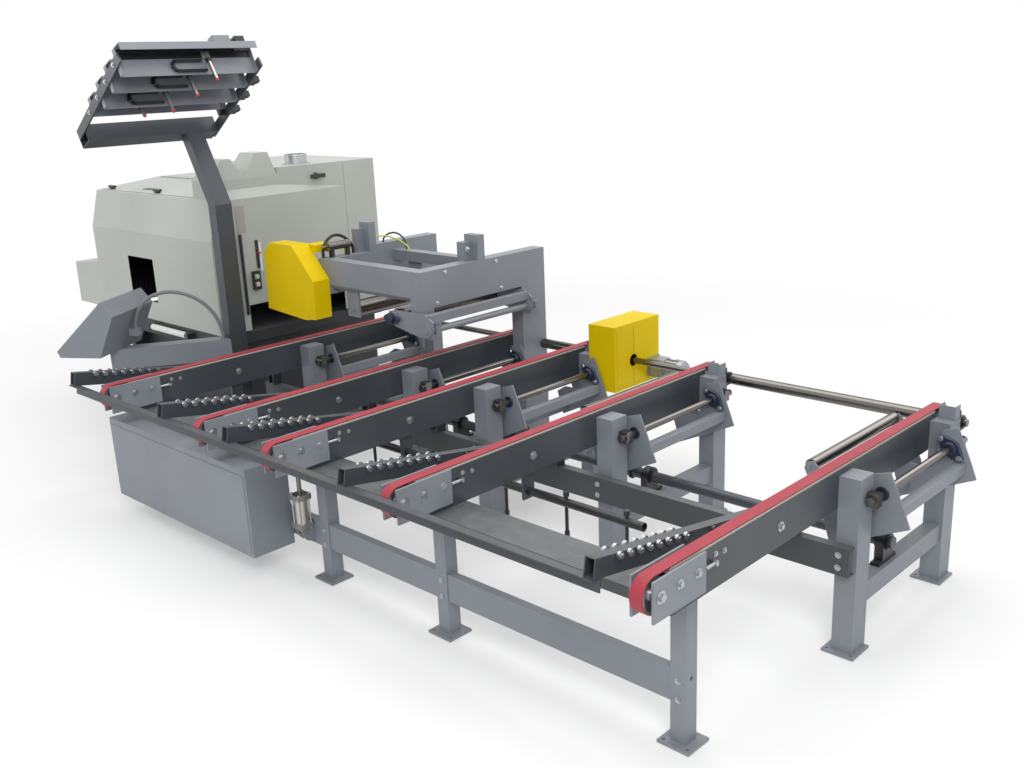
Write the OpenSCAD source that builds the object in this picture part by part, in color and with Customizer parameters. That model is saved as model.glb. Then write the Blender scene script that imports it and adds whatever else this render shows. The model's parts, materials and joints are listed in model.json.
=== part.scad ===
// Rip saw line: five belt conveyors with pop-up rollers and load arms, a hold-down
// frame, the saw cabinet, a sloped console and a mast that carries line lasers.
// Boards travel along Y on the belts and along X into the saw.
// Millimetres. Z is up. The origin is on the floor, below the middle of the machine.
// Places are first given from the right edge of the first belt and the front of its
// nose plates, and the whole machine is then moved to the origin.

/* [Lanes] */
// Height of the belt tops above the floor
deck_h = 900; // [850:1:950]
// Distance between the first and second belts
lane_gap_1 = 1375; // [1300:1:1450]
// Distance between the second and third belts
lane_gap_2 = 928; // [900:1:980]
// Distance between the third and fourth belts
lane_gap_3 = 640; // [620:1:670]
// Distance between the fourth and fifth belts
lane_gap_4 = 1076; // [1060:1:1110]
// Width of each red belt
belt_w = 57; // [50:1:62]
// Thickness of each belt
belt_t = 6; // [4:0.5:8]
// Radius of the head and nose pulleys
pulley_r = 69; // [60:1:72]
// Place of the nose pulley behind the front of the nose plates
nose_y = 40; // [30:1:50]
// Place of the drive shaft behind the front of the nose plates
drive_y = 2500; // [2490:1:2510]
// Radius of the drive shaft
drive_r = 20; // [16:1:21]
// Radius of the torque tubes on the drive shaft
torque_r = 33; // [28:1:36]

/* [Beams] */
// Thickness of the beam plates
beam_t = 5; // [4:0.5:7]
// Gap between each belt edge and the beam plates
belt_side_gap = 2; // [1:0.5:4]
// Depth of a beam below the belt top
beam_drop = 195; // [185:1:205]
// Height of the belt top above the beam plates
belt_proud = 14; // [10:1:18]
// Thickness of the nose plates
nose_plate_t = 10; // [6:1:14]
// Length of the nose plates
nose_plate_l = 325; // [300:1:350]
// Thickness of the spacers behind the nose plates
nose_spacer_t = 8; // [5:1:12]

/* [Frame] */
// Side of the square front legs
leg_w = 75; // [70:1:80]
// Width of the rear posts
post_w = 102; // [95:1:106]
// Depth of the rear posts
post_d = 125; // [115:1:127]
// Height of the rear posts
post_h = 860; // [840:1:865]
// Place of the front face of the inner rear posts
post_a_y = 1382; // [1375:1:1386]
// Place of the front face of the outer rear posts
post_b_y = 2332; // [2328:1:2336]
// Thickness of the foot plates
foot_t = 12; // [8:1:16]
// Wall of the steel tubes
tube_t = 5; // [4:0.5:6]
// Radius of the anchor holes in the foot plates
anchor_r = 8; // [6:0.5:10]

/* [Pop-up rollers] */
// Place of a lever pivot to the right of its belt
pivot_x = 135; // [132:1:138]
// Height of a lever pivot below the belt top
pivot_drop = 145; // [140:1:150]
// Radius of the pivot shafts
pivot_r = 20; // [16:1:21]
// Radius of the pop-up rollers
lane_roller_r = 30; // [25:1:32]
// Place of a pop-up roller to the left of its belt
lane_roller_x = 225; // [220:1:235]
// Depth of a pop-up roller's axis below the belt top
lane_roller_drop = 98; // [94:1:104]
// Thickness of the lever plates
lever_t = 10; // [8:1:12]
// Radius of the lift shaft
lift_r = 30; // [25:1:32]

/* [Load arms] */
// Height of a load arm tube
arm_h = 80; // [74:1:84]
// Width of a load arm tube
arm_w = 50; // [45:1:55]
// Rise of the load arms towards the front
arm_tilt = 9.8; // [9.5:0.1:10]
// Length of a load arm in front of its pivot
arm_l = 1438; // [1432:1:1444]
// Radius of the wheels on the load arms
wheel_r = 16; // [12:1:20]
// Wheels on each side of a load arm
wheel_n = 8; // [6:1:9]
// Height of the angle under the arm ends
rail_h = 57; // [50:1:62]

/* [Hold-down] */
// Left outer face of the hold-down frame, from the first belt
ring_left = 3770; // [3765:1:3780]
// Right outer face of the hold-down frame, from the first belt
ring_right = 2760; // [2756:1:2764]
// Width of the hold-down beams
ring_w = 100; // [94:1:100]
// Underside of the hold-down beams
ring_z = 1250; // [1245:1:1260]
// Height of the hold-down beams
ring_h = 230; // [220:1:240]
// Radius of the press and feed rolls
press_r = 55; // [45:1:58]

/* [Cabinet] */
// Right face of the cabinet, from the first belt
cab_right = 4650; // [4645:1:4655]
// Width of the cabinet
cab_w = 1800; // [1780:1:1820]
// Front face of the cabinet
cab_y = 1170; // [1168:1:1172]
// Depth of the cabinet
cab_d = 1490; // [1480:1:1500]
// Height of the cabinet's lower edge
cab_z = 877; // [870:1:882]
// Thickness of the cabinet's sheet
sheet_t = 4; // [3:0.5:5]
// Length of the outfeed box to the left of the cabinet
outfeed_l = 430; // [420:1:440]

/* [Console and mast] */
// Side of the square mast
mast_w = 125; // [120:1:130]
// Height of the bend in the mast
mast_bend = 1840; // [1830:1:1850]
// Rise of the laser arms
laser_rise = 34; // [32:0.5:36]
// Length of the laser troughs
trough_l = 913; // [913:1:913]
// Radius of the laser tubes
laser_r = 11; // [8:0.5:13]
// Diameter of the flexible conduit
conduit_d = 26; // [22:1:30]

/* [Fits] */
// Radial gap of a turning fit
run_gap = 0.05; // [0.03:0.01:0.08]
// Gap between faces that pass each other
pass_gap = 2; // [1.5:0.5:3]

/* [Hidden] */
$fn = 48;
lanes = [0, -lane_gap_1, -lane_gap_1 - lane_gap_2,
         -lane_gap_1 - lane_gap_2 - lane_gap_3,
         -lane_gap_1 - lane_gap_2 - lane_gap_3 - lane_gap_4];
loop_r = pulley_r + belt_t;
loop_z = deck_h - loop_r;
lane_mid = -belt_w / 2;
beam_in = belt_w / 2 + belt_side_gap;
beam_out = beam_in + beam_t;
beam_right = lane_mid + beam_out;
beam_left = lane_mid - beam_out;
beam_z = deck_h - beam_drop;
beam_top = deck_h - belt_proud;
beam_y0 = nose_y + loop_r + 15;
beam_y1 = drive_y - loop_r - 30;
slider_t = 24;

// Front legs
leg_x = -148;
leg_y = 340;
foot_w = 155;
channel_front = 215;
channel_depth = 210;
channel_flange = 50;
channel_t = 6;
leg_top = beam_z - channel_t;
low_rail_z = 188;
low_rail_h = 143;
low_rail_d = 45;

// Rear posts and what joins them
post_x = beam_right;
post_right = post_x + post_w;
post_b_end = post_b_y + post_d;
cross_w = 76;
cross_z = 220;
cross_h = 100;
rear_channel_z = 410;
rear_channel_h = 135;
rear_channel_d = 49;
rear_channel_y = post_a_y - rear_channel_d;
bracket_d = 62;
bracket_h = 70;
bracket_t = 6;

// Hold-down post that takes the place of the fourth lane's outer post
ring_post_y = 2310;
ring_post_d = 226;
ring_front = 1430;
left_post_y = 2304;
left_post_d = 92;
upright_y = [1790, 1925];
upright_top = [1678, 1640];
ring_x0 = -ring_left;
ring_x1 = -ring_right;

// Levers of the pop-up rollers
pivot_z = deck_h - pivot_drop;
roller_z = deck_h - lane_roller_drop;
lever_y0 = 1543;
lever_y1 = 2290;
lever_y2 = 2436;
spindle_r = 12.5;
lever_tip_x = 269;

// Lift shaft and its cranks
lift_y = 1780;
lift_z = 420;
crank_l = 120;
crank_rest = 14.5;
crank_x0 = -196;
crank_x1 = -70;
crank_roller_r = 20;

// Load arms
arm_pivot_y = 1340;
arm_pivot_z = 670;
arm_tail = 40;
arm_pin_r = 15;
arm_x = [-175, -235, -265, -280, -270];
wheel_first = 131 - arm_l;
wheel_pitch = 60;
wheel_w = 12;
wheel_sink = 9;
rail_t = 6;
rail_d = 55;
rail_front = arm_l + 10;
rail_x0 = lanes[4] + arm_x[4] - arm_w;
rail_x1 = lanes[0] + arm_x[0];

// Lift cylinder under the angle
cyl_x = -2545;
cyl_w = 84;
cyl_y = 296;
cyl_z0 = 290;
cyl_z1 = 485;
cyl_rod_r = 12;
cyl_lug_w = 46;

// Board stops
stop_y = 880;
stop_z = 600;
stop_r = 22;
stop_x0 = -4060;
stop_x1 = -680;
stop_pins = [-780, -1150, -1560, -2120, -2620, -3300, -3700];

// Guards
box_x0 = -4230;
box_x1 = -2710;
box_y0 = 75;
box_z0 = 135;
box_z1 = 645;
guard_x0 = -2191;
guard_x1 = -1985;
guard_y0 = 2310;
guard_y1 = 2770;
guard_z0 = 650;
guard_z1 = 1070;
guard_hole_r = 40;
motor_y = 2700;
motor_z = 745;
motor_box = 92;

// Hold-down press lever
press_pivot_x = -2690;
press_pivot_z = 1135;
press_x = -3000;
press_z = 1180;
press_y0 = 1405;
press_y1 = 2290;
feed_x = -3480;
feed_z = 1165;

// Cabinet outline, seen from the right
cab_x1 = -cab_right;
cab_x0 = cab_x1 - cab_w;
cab_crease = 1550;
cab_lean = 80;
cab_front_top = 1830;
cab_step_y = 1800;
cab_step_z = 1885;
cab_top = 2010;
cab_step_x = -5720;
cab_y1 = cab_y + cab_d;
outfeed_x = cab_x0 - outfeed_l;

// Mast and laser head
mast_x = -4475;
mast_y = 1060;
mast_lean = 28.07;
crossbar_z = 2326;
crossbar_x = mast_x + mast_w / 2 - (crossbar_z - mast_bend) * tan(mast_lean);
head_y0 = 387;
head_y1 = 1300;
head_x = -4690;
head_z = 2300;
laser_arm_l = 790;
laser_arm_h = 62;
laser_arm_t = 12;
near_arm_rise = 54;
mast_thin = 38;
trough_step = 160;
trough_first = 226;
trough_web = 165;
trough_flange = 105;
trough_lip = 45;
trough_sheet = 4;
trough_turn = 24;
laser_at = [304, 409, 510, 580];
laser_l = [100, 180, 180, 180];

// Console
desk_x = -4616;
desk_y = 250;
desk_z = 925;
desk_d = 500;
desk_turn = 32;

// Flexible conduit: from the elbow box on the console, over and down to the arm
conduit_path = [[-4679, 553, 1060], [-4679, 553, 1092], [-4662, 562, 1152],
                [-4649, 585, 1202], [-4637, 623, 1242], [-4619, 678, 1269],
                [-4590, 748, 1281], [-4544, 818, 1271], [-4499, 887, 1237],
                [-4457, 949, 1181], [-4424, 995, 1108], [-4404, 1020, 1028],
                [-4396, 1030, 965], [-4396, 1030, 937]];

// The middle of the machine, which becomes the origin
x_left = outfeed_x;
x_right = lever_tip_x;
y_front = arm_pivot_y - rail_front * cos(arm_tilt) - arm_h / 2 * sin(arm_tilt);
y_back = motor_y + motor_box;
x_mid = (x_left + x_right) / 2;
y_mid = (y_front + y_back) / 2;

light_grey = "#7E8189";
dark_grey = "#43494C";
green_grey = "#3C4440";
cream = "#B5B8AC";
belt_red = "#C4505A";
guard_yellow = "#D9C400";
steel = "#B9BBC0";
black = "#222428";

// A block between two corners
module block(x0, x1, y0, y1, z0, z1) {
    translate([x0, y0, z0]) cube([x1 - x0, y1 - y0, z1 - z0]);
}

// Round bars along each axis, with an optional bore
module bar_x(x0, x1, y, z, r, bore = 0) {
    translate([x0, y, z]) rotate([0, 90, 0]) difference() {
        cylinder(h = x1 - x0, r = r);
        if (bore > 0) translate([0, 0, -1]) cylinder(h = x1 - x0 + 2, r = bore);
    }
}
module bar_y(y0, y1, x, z, r, bore = 0) {
    translate([x, y1, z]) rotate([90, 0, 0]) difference() {
        cylinder(h = y1 - y0, r = r);
        if (bore > 0) translate([0, 0, -1]) cylinder(h = y1 - y0 + 2, r = bore);
    }
}
module bar_z(z0, z1, x, y, r, bore = 0) {
    translate([x, y, z0]) difference() {
        cylinder(h = z1 - z0, r = r);
        if (bore > 0) translate([0, 0, -1]) cylinder(h = z1 - z0 + 2, r = bore);
    }
}

// Square and rectangular steel tubes along each axis
module tube_x(x0, x1, y0, y1, z0, z1, t = tube_t) {
    difference() {
        block(x0, x1, y0, y1, z0, z1);
        block(x0 - 1, x1 + 1, y0 + t, y1 - t, z0 + t, z1 - t);
    }
}
module tube_y(x0, x1, y0, y1, z0, z1, t = tube_t) {
    difference() {
        block(x0, x1, y0, y1, z0, z1);
        block(x0 + t, x1 - t, y0 - 1, y1 + 1, z0 + t, z1 - t);
    }
}
module tube_z(x0, x1, y0, y1, z0, z1, t = tube_t) {
    difference() {
        block(x0, x1, y0, y1, z0, z1);
        block(x0 + t, x1 - t, y0 + t, y1 - t, z0 - 1, z1 - t);
    }
}

// A plate outline in X and Z, as thick as its Y range
module plate_xz(points, y0, y1) {
    translate([0, y1, 0]) rotate([90, 0, 0]) linear_extrude(y1 - y0) polygon(points);
}
// A plate outline in Y and Z, as thick as its X range
module plate_yz(points, x0, x1) {
    translate([x0, 0, 0]) rotate([90, 0, 90]) linear_extrude(x1 - x0) polygon(points);
}

// A hexagon head with its washer, pointing along X, Y or Z
module hex_x(x, y, z, side = 1, r = 11) {
    translate([x, y, z]) rotate([0, 90 * side, 0]) hex_head(r);
}
module hex_y(x, y, z, side = -1, r = 11) {
    translate([x, y, z]) rotate([-90 * side, 0, 0]) hex_head(r);
}
module hex_z(x, y, z, r = 11) {
    translate([x, y, z]) hex_head(r);
}
module hex_head(r) {
    cylinder(h = 2.5, r = r * 1.5, $fn = 24);
    translate([0, 0, 2.5]) cylinder(h = r * 0.75, r = r, $fn = 6);
}

// A foot plate with two anchor holes
module foot(x0, x1, y0, y1) {
    difference() {
        block(x0, x1, y0, y1, 0, foot_t);
        for (x = [x0 + 20, x1 - 20])
            bar_z(-1, foot_t + 1, x, y0 + 20, anchor_r);
    }
}

// Front legs, the lower rail between them and the bracket of the lift cylinder
module front_frame() color(light_grey) {
    leg_end = leg_y + leg_w;
    for (x = lanes) {
        foot_x0 = x + leg_x - (foot_w - leg_w) / 2;
        foot(foot_x0, foot_x0 + foot_w, leg_y - 38, leg_end + 32);
        difference() {
            tube_z(x + leg_x, x + leg_x + leg_w, leg_y, leg_end, foot_t, leg_top);
            bar_x(x + leg_x + leg_w - 8, x + leg_x + leg_w + 1, leg_y + leg_w / 2, 300, 9);
        }
    }
    for (i = [0:3]) {
        x0 = lanes[i + 1] + leg_x + leg_w;
        x1 = lanes[i] + leg_x;
        difference() {
            block(x0, x1, leg_y + 5, leg_y + 5 + low_rail_d, low_rail_z, low_rail_z + low_rail_h);
            block(x0 - 1, x1 + 1, leg_y + 5 + channel_t, leg_y + 6 + low_rail_d,
                  low_rail_z + channel_t, low_rail_z + low_rail_h - channel_t);
        }
    }
    // Clevis of the lift cylinder on the lower rail
    for (x = [cyl_x - 26, cyl_x + 18])
        plate_yz([[leg_y + 5, low_rail_z + 10], [leg_y + 5, cyl_z0], [cyl_y - 22, cyl_z0],
                  [cyl_y - 22, cyl_z0 - 46], [cyl_y + 4, cyl_z0 - 74]], x, x + 8);
    bar_x(cyl_x - 34, cyl_x + 34, cyl_y, cyl_z0 - 40, 11);
}

// Rear post pairs with their crossbars and the bearing brackets on top
module rear_posts() color(light_grey) {
    for (i = [0:4]) {
        x0 = lanes[i] + post_x;
        x1 = lanes[i] + post_right;
        own_post = i != 3;
        back = own_post ? post_b_y : ring_post_y;
        ys = own_post ? [post_a_y, post_b_y] : [post_a_y];
        for (y = ys) {
            tube_z(x0, x1, y, y + post_d, foot_t, post_h);
            foot(x0 - 34, x1 + 22, y - 32, y + post_d + 3);
        }
        mid = own_post ? (x0 + x1) / 2 : (x1 + ring_x1 - ring_w) / 2 - 6;
        tube_y(mid - cross_w / 2, mid + cross_w / 2, post_a_y + post_d, back,
               cross_z, cross_z + cross_h);
        if (own_post) {
            end = post_b_end;
            block(x0 + 14, x1 - 4, end - bracket_d, end - bracket_d + bracket_t,
                  post_h, post_h + bracket_h);
            for (x = [x0 + 14, x1 - 4 - bracket_t])
                block(x, x + bracket_t, end - bracket_d + bracket_t, end,
                      post_h, post_h + bracket_h);
            block(x0 + 14 + bracket_t, x1 - 4 - bracket_t, end - bracket_d + bracket_t, end,
                  post_h, post_h + bracket_t);
        }
    }
}

// The flat channel under the beams, the upright channel on the inner posts and the
// lugs that hold the load arms
module cross_channels() color(green_grey) {
    x0 = lanes[4] - 180;
    x1 = lanes[0] + leg_x + leg_w;
    y1 = channel_front + channel_depth;
    difference() {
        block(x0, x1, channel_front, y1, beam_z - channel_flange, beam_z);
        block(x0 - 1, x1 + 1, channel_front + channel_t, y1 - channel_t,
              beam_z - channel_flange - 1, beam_z - channel_t);
        bar_z(beam_z - 20, beam_z + 1, cyl_x, cyl_y, cyl_rod_r + 12);
    }
    rear_x0 = lanes[4] + arm_x[4] - arm_w - 80;
    difference() {
        block(rear_x0, post_right - 12, rear_channel_y, post_a_y,
              rear_channel_z, rear_channel_z + rear_channel_h);
        block(rear_x0 - 1, post_right, rear_channel_y + channel_t, post_a_y + 1,
              rear_channel_z + channel_t, rear_channel_z + rear_channel_h - channel_t);
    }
    lug_z = rear_channel_z + rear_channel_h;
    for (i = [0:4]) {
        x1 = lanes[i] + arm_x[i];
        x0 = x1 - arm_w;
        block(x0 - 14, x1 + 14, rear_channel_y - 20, post_a_y - 2, lug_z, lug_z + 10);
        for (x = [x0 - 12, x1 + 2]) difference() {
            block(x, x + 10, rear_channel_y - 20, post_a_y - 2, lug_z + 10, arm_pivot_z + 32);
            bar_x(x - 1, x + 11, arm_pivot_y, arm_pivot_z, arm_pin_r);
        }
        bar_x(x0 - 18, x1 + 18, arm_pivot_y, arm_pivot_z, arm_pin_r);
    }
}

// Five folded beams, open at the top, with the hangers of the stop bar
module conveyor_beams() color(dark_grey) {
    for (x = lanes) translate([x, 0, 0]) {
        difference() {
            block(beam_left, beam_right, beam_y0, beam_y1, beam_z, beam_top);
            block(lane_mid - beam_in, lane_mid + beam_in, beam_y0 - 1, beam_y1 + 1,
                  beam_z + beam_t, beam_top + 1);
        }
    }
    for (i = [1:4]) translate([lanes[i], 0, 0]) difference() {
        block(lane_mid - 6, lane_mid + 6, stop_y - 40, stop_y + 40, stop_z - 40, beam_z);
        bar_x(lane_mid - 7, lane_mid + 7, stop_y, stop_z, stop_r + run_gap);
    }
}

// Low-friction beds that the belts slide on
module slider_beds() color("white") {
    top = deck_h - belt_t;
    for (x = lanes)
        block(x + lane_mid - beam_in, x + lane_mid + beam_in, beam_y0, beam_y1,
              top - slider_t, top);
}

// Nose plates on both sides of each belt, with their spacers
module nose_plates() color(light_grey) {
    near = beam_out + nose_spacer_t;
    for (x = lanes) translate([x + lane_mid, 0, 0])
        for (side = [0, 1]) mirror([side, 0, 0]) {
            difference() {
                block(near, near + nose_plate_t, 0, nose_plate_l, deck_h - 169, deck_h - 5);
                bar_x(near - 1, near + nose_plate_t + 1, nose_y, loop_z, spindle_r);
            }
            block(beam_out, near, beam_y0, nose_plate_l - 5, deck_h - 155, deck_h - 30);
        }
}

// Belts: a closed loop round the nose and head pulleys
module loop_outline(r) {
    translate([nose_y, loop_z]) circle(r, $fn = 96);
    translate([drive_y, loop_z]) circle(r, $fn = 96);
    translate([nose_y, loop_z - r]) square([drive_y - nose_y, 2 * r]);
}
module conveyor_belts() color(belt_red) {
    for (x = lanes) translate([x - belt_w, 0, 0]) rotate([90, 0, 90])
        linear_extrude(belt_w) difference() {
            loop_outline(loop_r);
            loop_outline(pulley_r);
        }
}

// Axle bolts of the nose pulleys, slot bolts, tension bolts and other fasteners
module frame_bolts() color(steel) {
    near = beam_out + nose_spacer_t;
    far = near + nose_plate_t;
    for (x = lanes) translate([x + lane_mid, 0, 0]) {
        bar_x(-far - 3, far + 3, nose_y, loop_z, spindle_r);
        for (side = [0, 1]) mirror([side, 0, 0]) {
            bar_x(belt_w / 2 + 1, near, nose_y, loop_z, 19, spindle_r);
            translate([far + 3, nose_y, loop_z]) rotate([0, 90, 0])
                cylinder(h = 13, r = 17, $fn = 6);
            translate([far, nose_y, loop_z]) rotate([0, 90, 0]) difference() {
                cylinder(h = 3, r = 26);
                translate([0, 0, -1]) cylinder(h = 5, r = spindle_r);
            }
            for (y = [157, 270]) hex_x(far, y, loop_z + 5, 1, 13);
            // Tension bolt behind the plate
            block(beam_out, beam_out + 26, 380, 396, loop_z - 10, loop_z + 10);
            bar_y(nose_plate_l, 380, beam_out + 16, loop_z, 7);
            for (y = [410, 470]) hex_x(beam_out, y, loop_z + 25 - y / 8 + 51, 1, 8);
            // End of the return idler's axle
            bar_x(beam_out, beam_out + 3, 888, 793, 22);
            translate([beam_out + 3, 888, 793]) rotate([0, 90, 0])
                cylinder(h = 10, r = 13, $fn = 6);
        }
    }
    // Bolts of the rear channel on the inner posts
    for (x = lanes)
        for (z = [rear_channel_z + 38, rear_channel_z + 98])
            hex_y(x + post_x + 38, rear_channel_y, z, -1, 10);
    // Bolts on the front legs
    for (i = [0:2])
        for (z = [205, 290])
            hex_y(lanes[i] + leg_x + leg_w / 2, leg_y, z, -1, 9);
}

// Fixed pivot shafts of the pop-up levers with their clamp blocks
module pivot_shafts() color(steel) {
    for (i = [0:4]) translate([lanes[i], 0, 0]) {
        y1 = i == 3 ? ring_post_y : i == 2 ? guard_y0 : post_b_end - 7;
        bar_y(1420, y1, pivot_x, pivot_z, pivot_r);
        clamp(1440);
        if (i < 2 || i == 4) clamp(post_b_y + 30);
    }
}
module clamp(y) {
    right = pivot_x + pivot_r + 8;
    block(post_right, right, y, y + 45, pivot_z - 32, pivot_z + 32);
}

// Black bearings of the drive shaft and the lift shaft
module pillow_blocks() color(black) {
    for (i = [0, 1, 2, 4]) {
        mid = lanes[i] + post_right - 22;
        // Drive shaft, on the rear faces of the outer posts
        difference() {
            union() {
                block(mid - 20, mid + 20, post_b_end, post_b_end + 12, loop_z - 72, loop_z + 72);
                block(mid - 20, mid + 20, post_b_end + 12, drive_y, loop_z - 38, loop_z + 38);
                bar_x(mid - 20, mid + 20, drive_y, loop_z, 38);
                bar_x(mid - 28, mid + 28, drive_y, loop_z, 29);
            }
            bar_x(mid - 30, mid + 30, drive_y, loop_z, drive_r + run_gap);
        }
        // Lift shaft, on the crossbars
        lift_block(lanes[i] + post_x + 45);
    }
    lift_block((lanes[3] + post_right + ring_x1 - ring_w) / 2 - 6);
}
module lift_block(mid) {
    top = cross_z + cross_h;
    difference() {
        union() {
            block(mid - 22, mid + 22, lift_y - 90, lift_y + 90, top, top + 16);
            block(mid - 22, mid + 22, lift_y - 52, lift_y + 52, top + 16, lift_z);
            bar_x(mid - 22, mid + 22, lift_y, lift_z, 52);
            bar_x(mid - 32, mid + 32, lift_y, lift_z, 40);
        }
        bar_x(mid - 34, mid + 34, lift_y, lift_z, lift_r + run_gap);
    }
}

// Sheet cabinet on the front legs, with a lid and a raised door
module drive_cabinet() color(light_grey) {
    difference() {
        block(box_x0, box_x1, box_y0, leg_y, box_z0, box_z1);
        block(box_x0 + sheet_t, box_x1 - sheet_t, box_y0 + sheet_t, leg_y - sheet_t,
              box_z0 + sheet_t, box_z1 - sheet_t);
    }
    block(box_x0 + 20, box_x1 - 20, box_y0 - 3, box_y0, box_z0 + 25, box_z1 - 40);
}

// Yellow chain guard on the drive shaft, with the bracket that ties it to a post
module chain_guard() color(guard_yellow) {
    difference() {
        union() {
            block(guard_x0, guard_x1, guard_y0, guard_y1, guard_z0, guard_z1);
            block(guard_x1, guard_x1 + 3, guard_y0 + 25, guard_y1 - 25,
                  guard_z0 + 25, guard_z1 - 25);
        }
        block(guard_x0 + sheet_t, guard_x1 - sheet_t, guard_y0 + sheet_t,
              guard_y1 - sheet_t, guard_z0 + sheet_t, guard_z1 - sheet_t);
        bar_x(guard_x0 - 1, guard_x1 + 5, drive_y, loop_z, guard_hole_r);
    }
    block(lanes[2] + post_right, guard_x0, post_b_y + 20, post_b_y + 110,
          guard_z0 + 25, guard_z0 + 125);
}

// Gear motor bolted to the right side of the chain guard
module gear_motor() color(steel) {
    y = motor_y;
    z = motor_z;
    x = guard_x1 + 3;
    block(x, x + 14, y - 62, y + 62, z - 62, z + 62);
    block(x + 14, x + 100, y - 52, y + 52, z - 58, z + 58);
    bar_x(x + 100, x + 114, y, z, 62);
    bar_x(x + 114, x + 210, y, z, 54);
    for (i = [0:10]) rotate_about_x(y, z, i * 360 / 11)
        block(x + 116, x + 208, y - 2, y + 2, z + 53, z + 62);
    bar_x(x + 210, x + 250, y, z, 60);
    block(x + 125, x + 200, y + 50, y + motor_box, z - 40, z + 40);
}
module rotate_about_x(y, z, a) {
    translate([0, y, z]) rotate([a, 0, 0]) translate([0, -y, -z]) children();
}

// Hold-down frame: two rear posts, two side beams, two cross beams, uprights and
// the hanging post at the front right corner
module hold_down_frame() color(light_grey) {
    top = ring_z + ring_h;
    for (i = [0, 1]) {
        x = [ring_x0, ring_x1 - ring_w][i];
        y0 = [left_post_y, ring_post_y][i];
        y1 = y0 + [left_post_d, ring_post_d][i];
        difference() {
            tube_z(x, x + ring_w, y0, y1, foot_t, top);
            bar_x(x - 1, x + ring_w + 1, drive_y, loop_z, drive_r + 4);
        }
        foot(x - 25, x + ring_w + 25, y0 + 20, y1 + 30);
        tube_y(x, x + ring_w, ring_front, y0, ring_z, top);
        // Upright with its bolted bracket
        ux = [x, x - 20][i];
        uy = upright_y[i];
        block(ux, x + ring_w, uy, uy + 58, top, upright_top[i]);
        block(ux - 4, x + ring_w - 60, uy - 64, uy, top, upright_top[i] - 42);
    }
    block(ring_x0, ring_x0 + ring_w, upright_y[0] + 58, left_post_y + left_post_d, top, top + 44);
    inner0 = ring_x0 + ring_w;
    inner1 = ring_x1 - ring_w;
    // Front beam, its lower edge cut back
    plate_yz([[ring_front, top], [ring_front + 90, top], [ring_front + 90, top - 190],
              [ring_front + 20, top - 190], [ring_front, top - 165]], inner0, inner1);
    tube_x(inner0, inner1, 1985, 2065, top - 80, top - 10);
    // Hanging post and its foot at the front right corner
    hang_y = ring_front + 100;
    block(ring_x1 - ring_w, ring_x1, ring_front, hang_y, 1110, ring_z);
    block(ring_x1 - ring_w - 12, ring_x1 + 12, ring_front - 8, hang_y + 8, 1098, 1110);
    // Brackets that hold the press lever's shaft
    for (y = [1448, ring_post_y + 16]) difference() {
        block(ring_x1, press_pivot_x + 32, y, y + 40, press_pivot_z - 25, press_pivot_z + 23);
        bar_y(y - 1, y + 41, press_pivot_x, press_pivot_z, pivot_r);
    }
    bar_y(1385, 2366, press_pivot_x, press_pivot_z, pivot_r);
    // Bearing plates of the feed roll, under the front beam and the rear beam
    for (y = [ring_front + 36, 2010]) difference() {
        block(feed_x - 60, feed_x + 60, y, y + 14, feed_z - 50,
              y < 2000 ? top - 190 : top - 80);
        bar_y(y - 1, y + 15, feed_x, feed_z, spindle_r);
    }
    bar_y(ring_front + 26, 2034, feed_x, feed_z, spindle_r);
}

// Yellow guard over the drive of the hold-down rolls
module feed_guard() color(guard_yellow) {
    outline = [[-4214, 1116], [-4200, 1506], [-4127, 1575], [-3874, 1573], [-3667, 1354],
               [-3672, 1101], [-3790, 1085]];
    inner = [[-4210, 1120], [-4196, 1504], [-4125, 1571], [-3876, 1569], [-3671, 1352],
             [-3676, 1105], [-3790, 1089]];
    difference() {
        plate_xz(outline, 1300, ring_front);
        plate_xz(inner, 1304, ring_front - sheet_t);
    }
    block(-3900, -3785, ring_front, 1560, 1515, 1565);
}

// Seen from the right: outline of the cabinet's hood
function hood_outline(t) = [
    [cab_y + t, cab_z - (t > 0 ? 1 : 0)], [cab_y + t, cab_crease],
    [cab_y + cab_lean + t, cab_front_top - t], [cab_step_y + t, cab_step_z - t],
    [cab_y1 - t, cab_step_z - t], [cab_y1 - t, cab_z - (t > 0 ? 1 : 0)]];

// Cabinet hood: folded sheet with a window, the board openings and a lid opening
eave_z = 1825;
eave_y = 2359;
eave_in = 50;
base_x = -4950;
base_top = 1888;
// Hood body with its right eave cut back, smaller all round by t
module hood_body(t) {
    difference() {
        plate_yz(hood_outline(t), cab_x0 + t, cab_x1 - t);
        translate([-t * 0.8, 0, -t * 0.6])
            plate_xz([[cab_x1 + eave_in, eave_z - 63], [cab_x1 + eave_in, base_top + 63],
                      [cab_x1 - 2 * eave_in, base_top + 63]], cab_y - 1, eave_y + t);
    }
}
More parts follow.
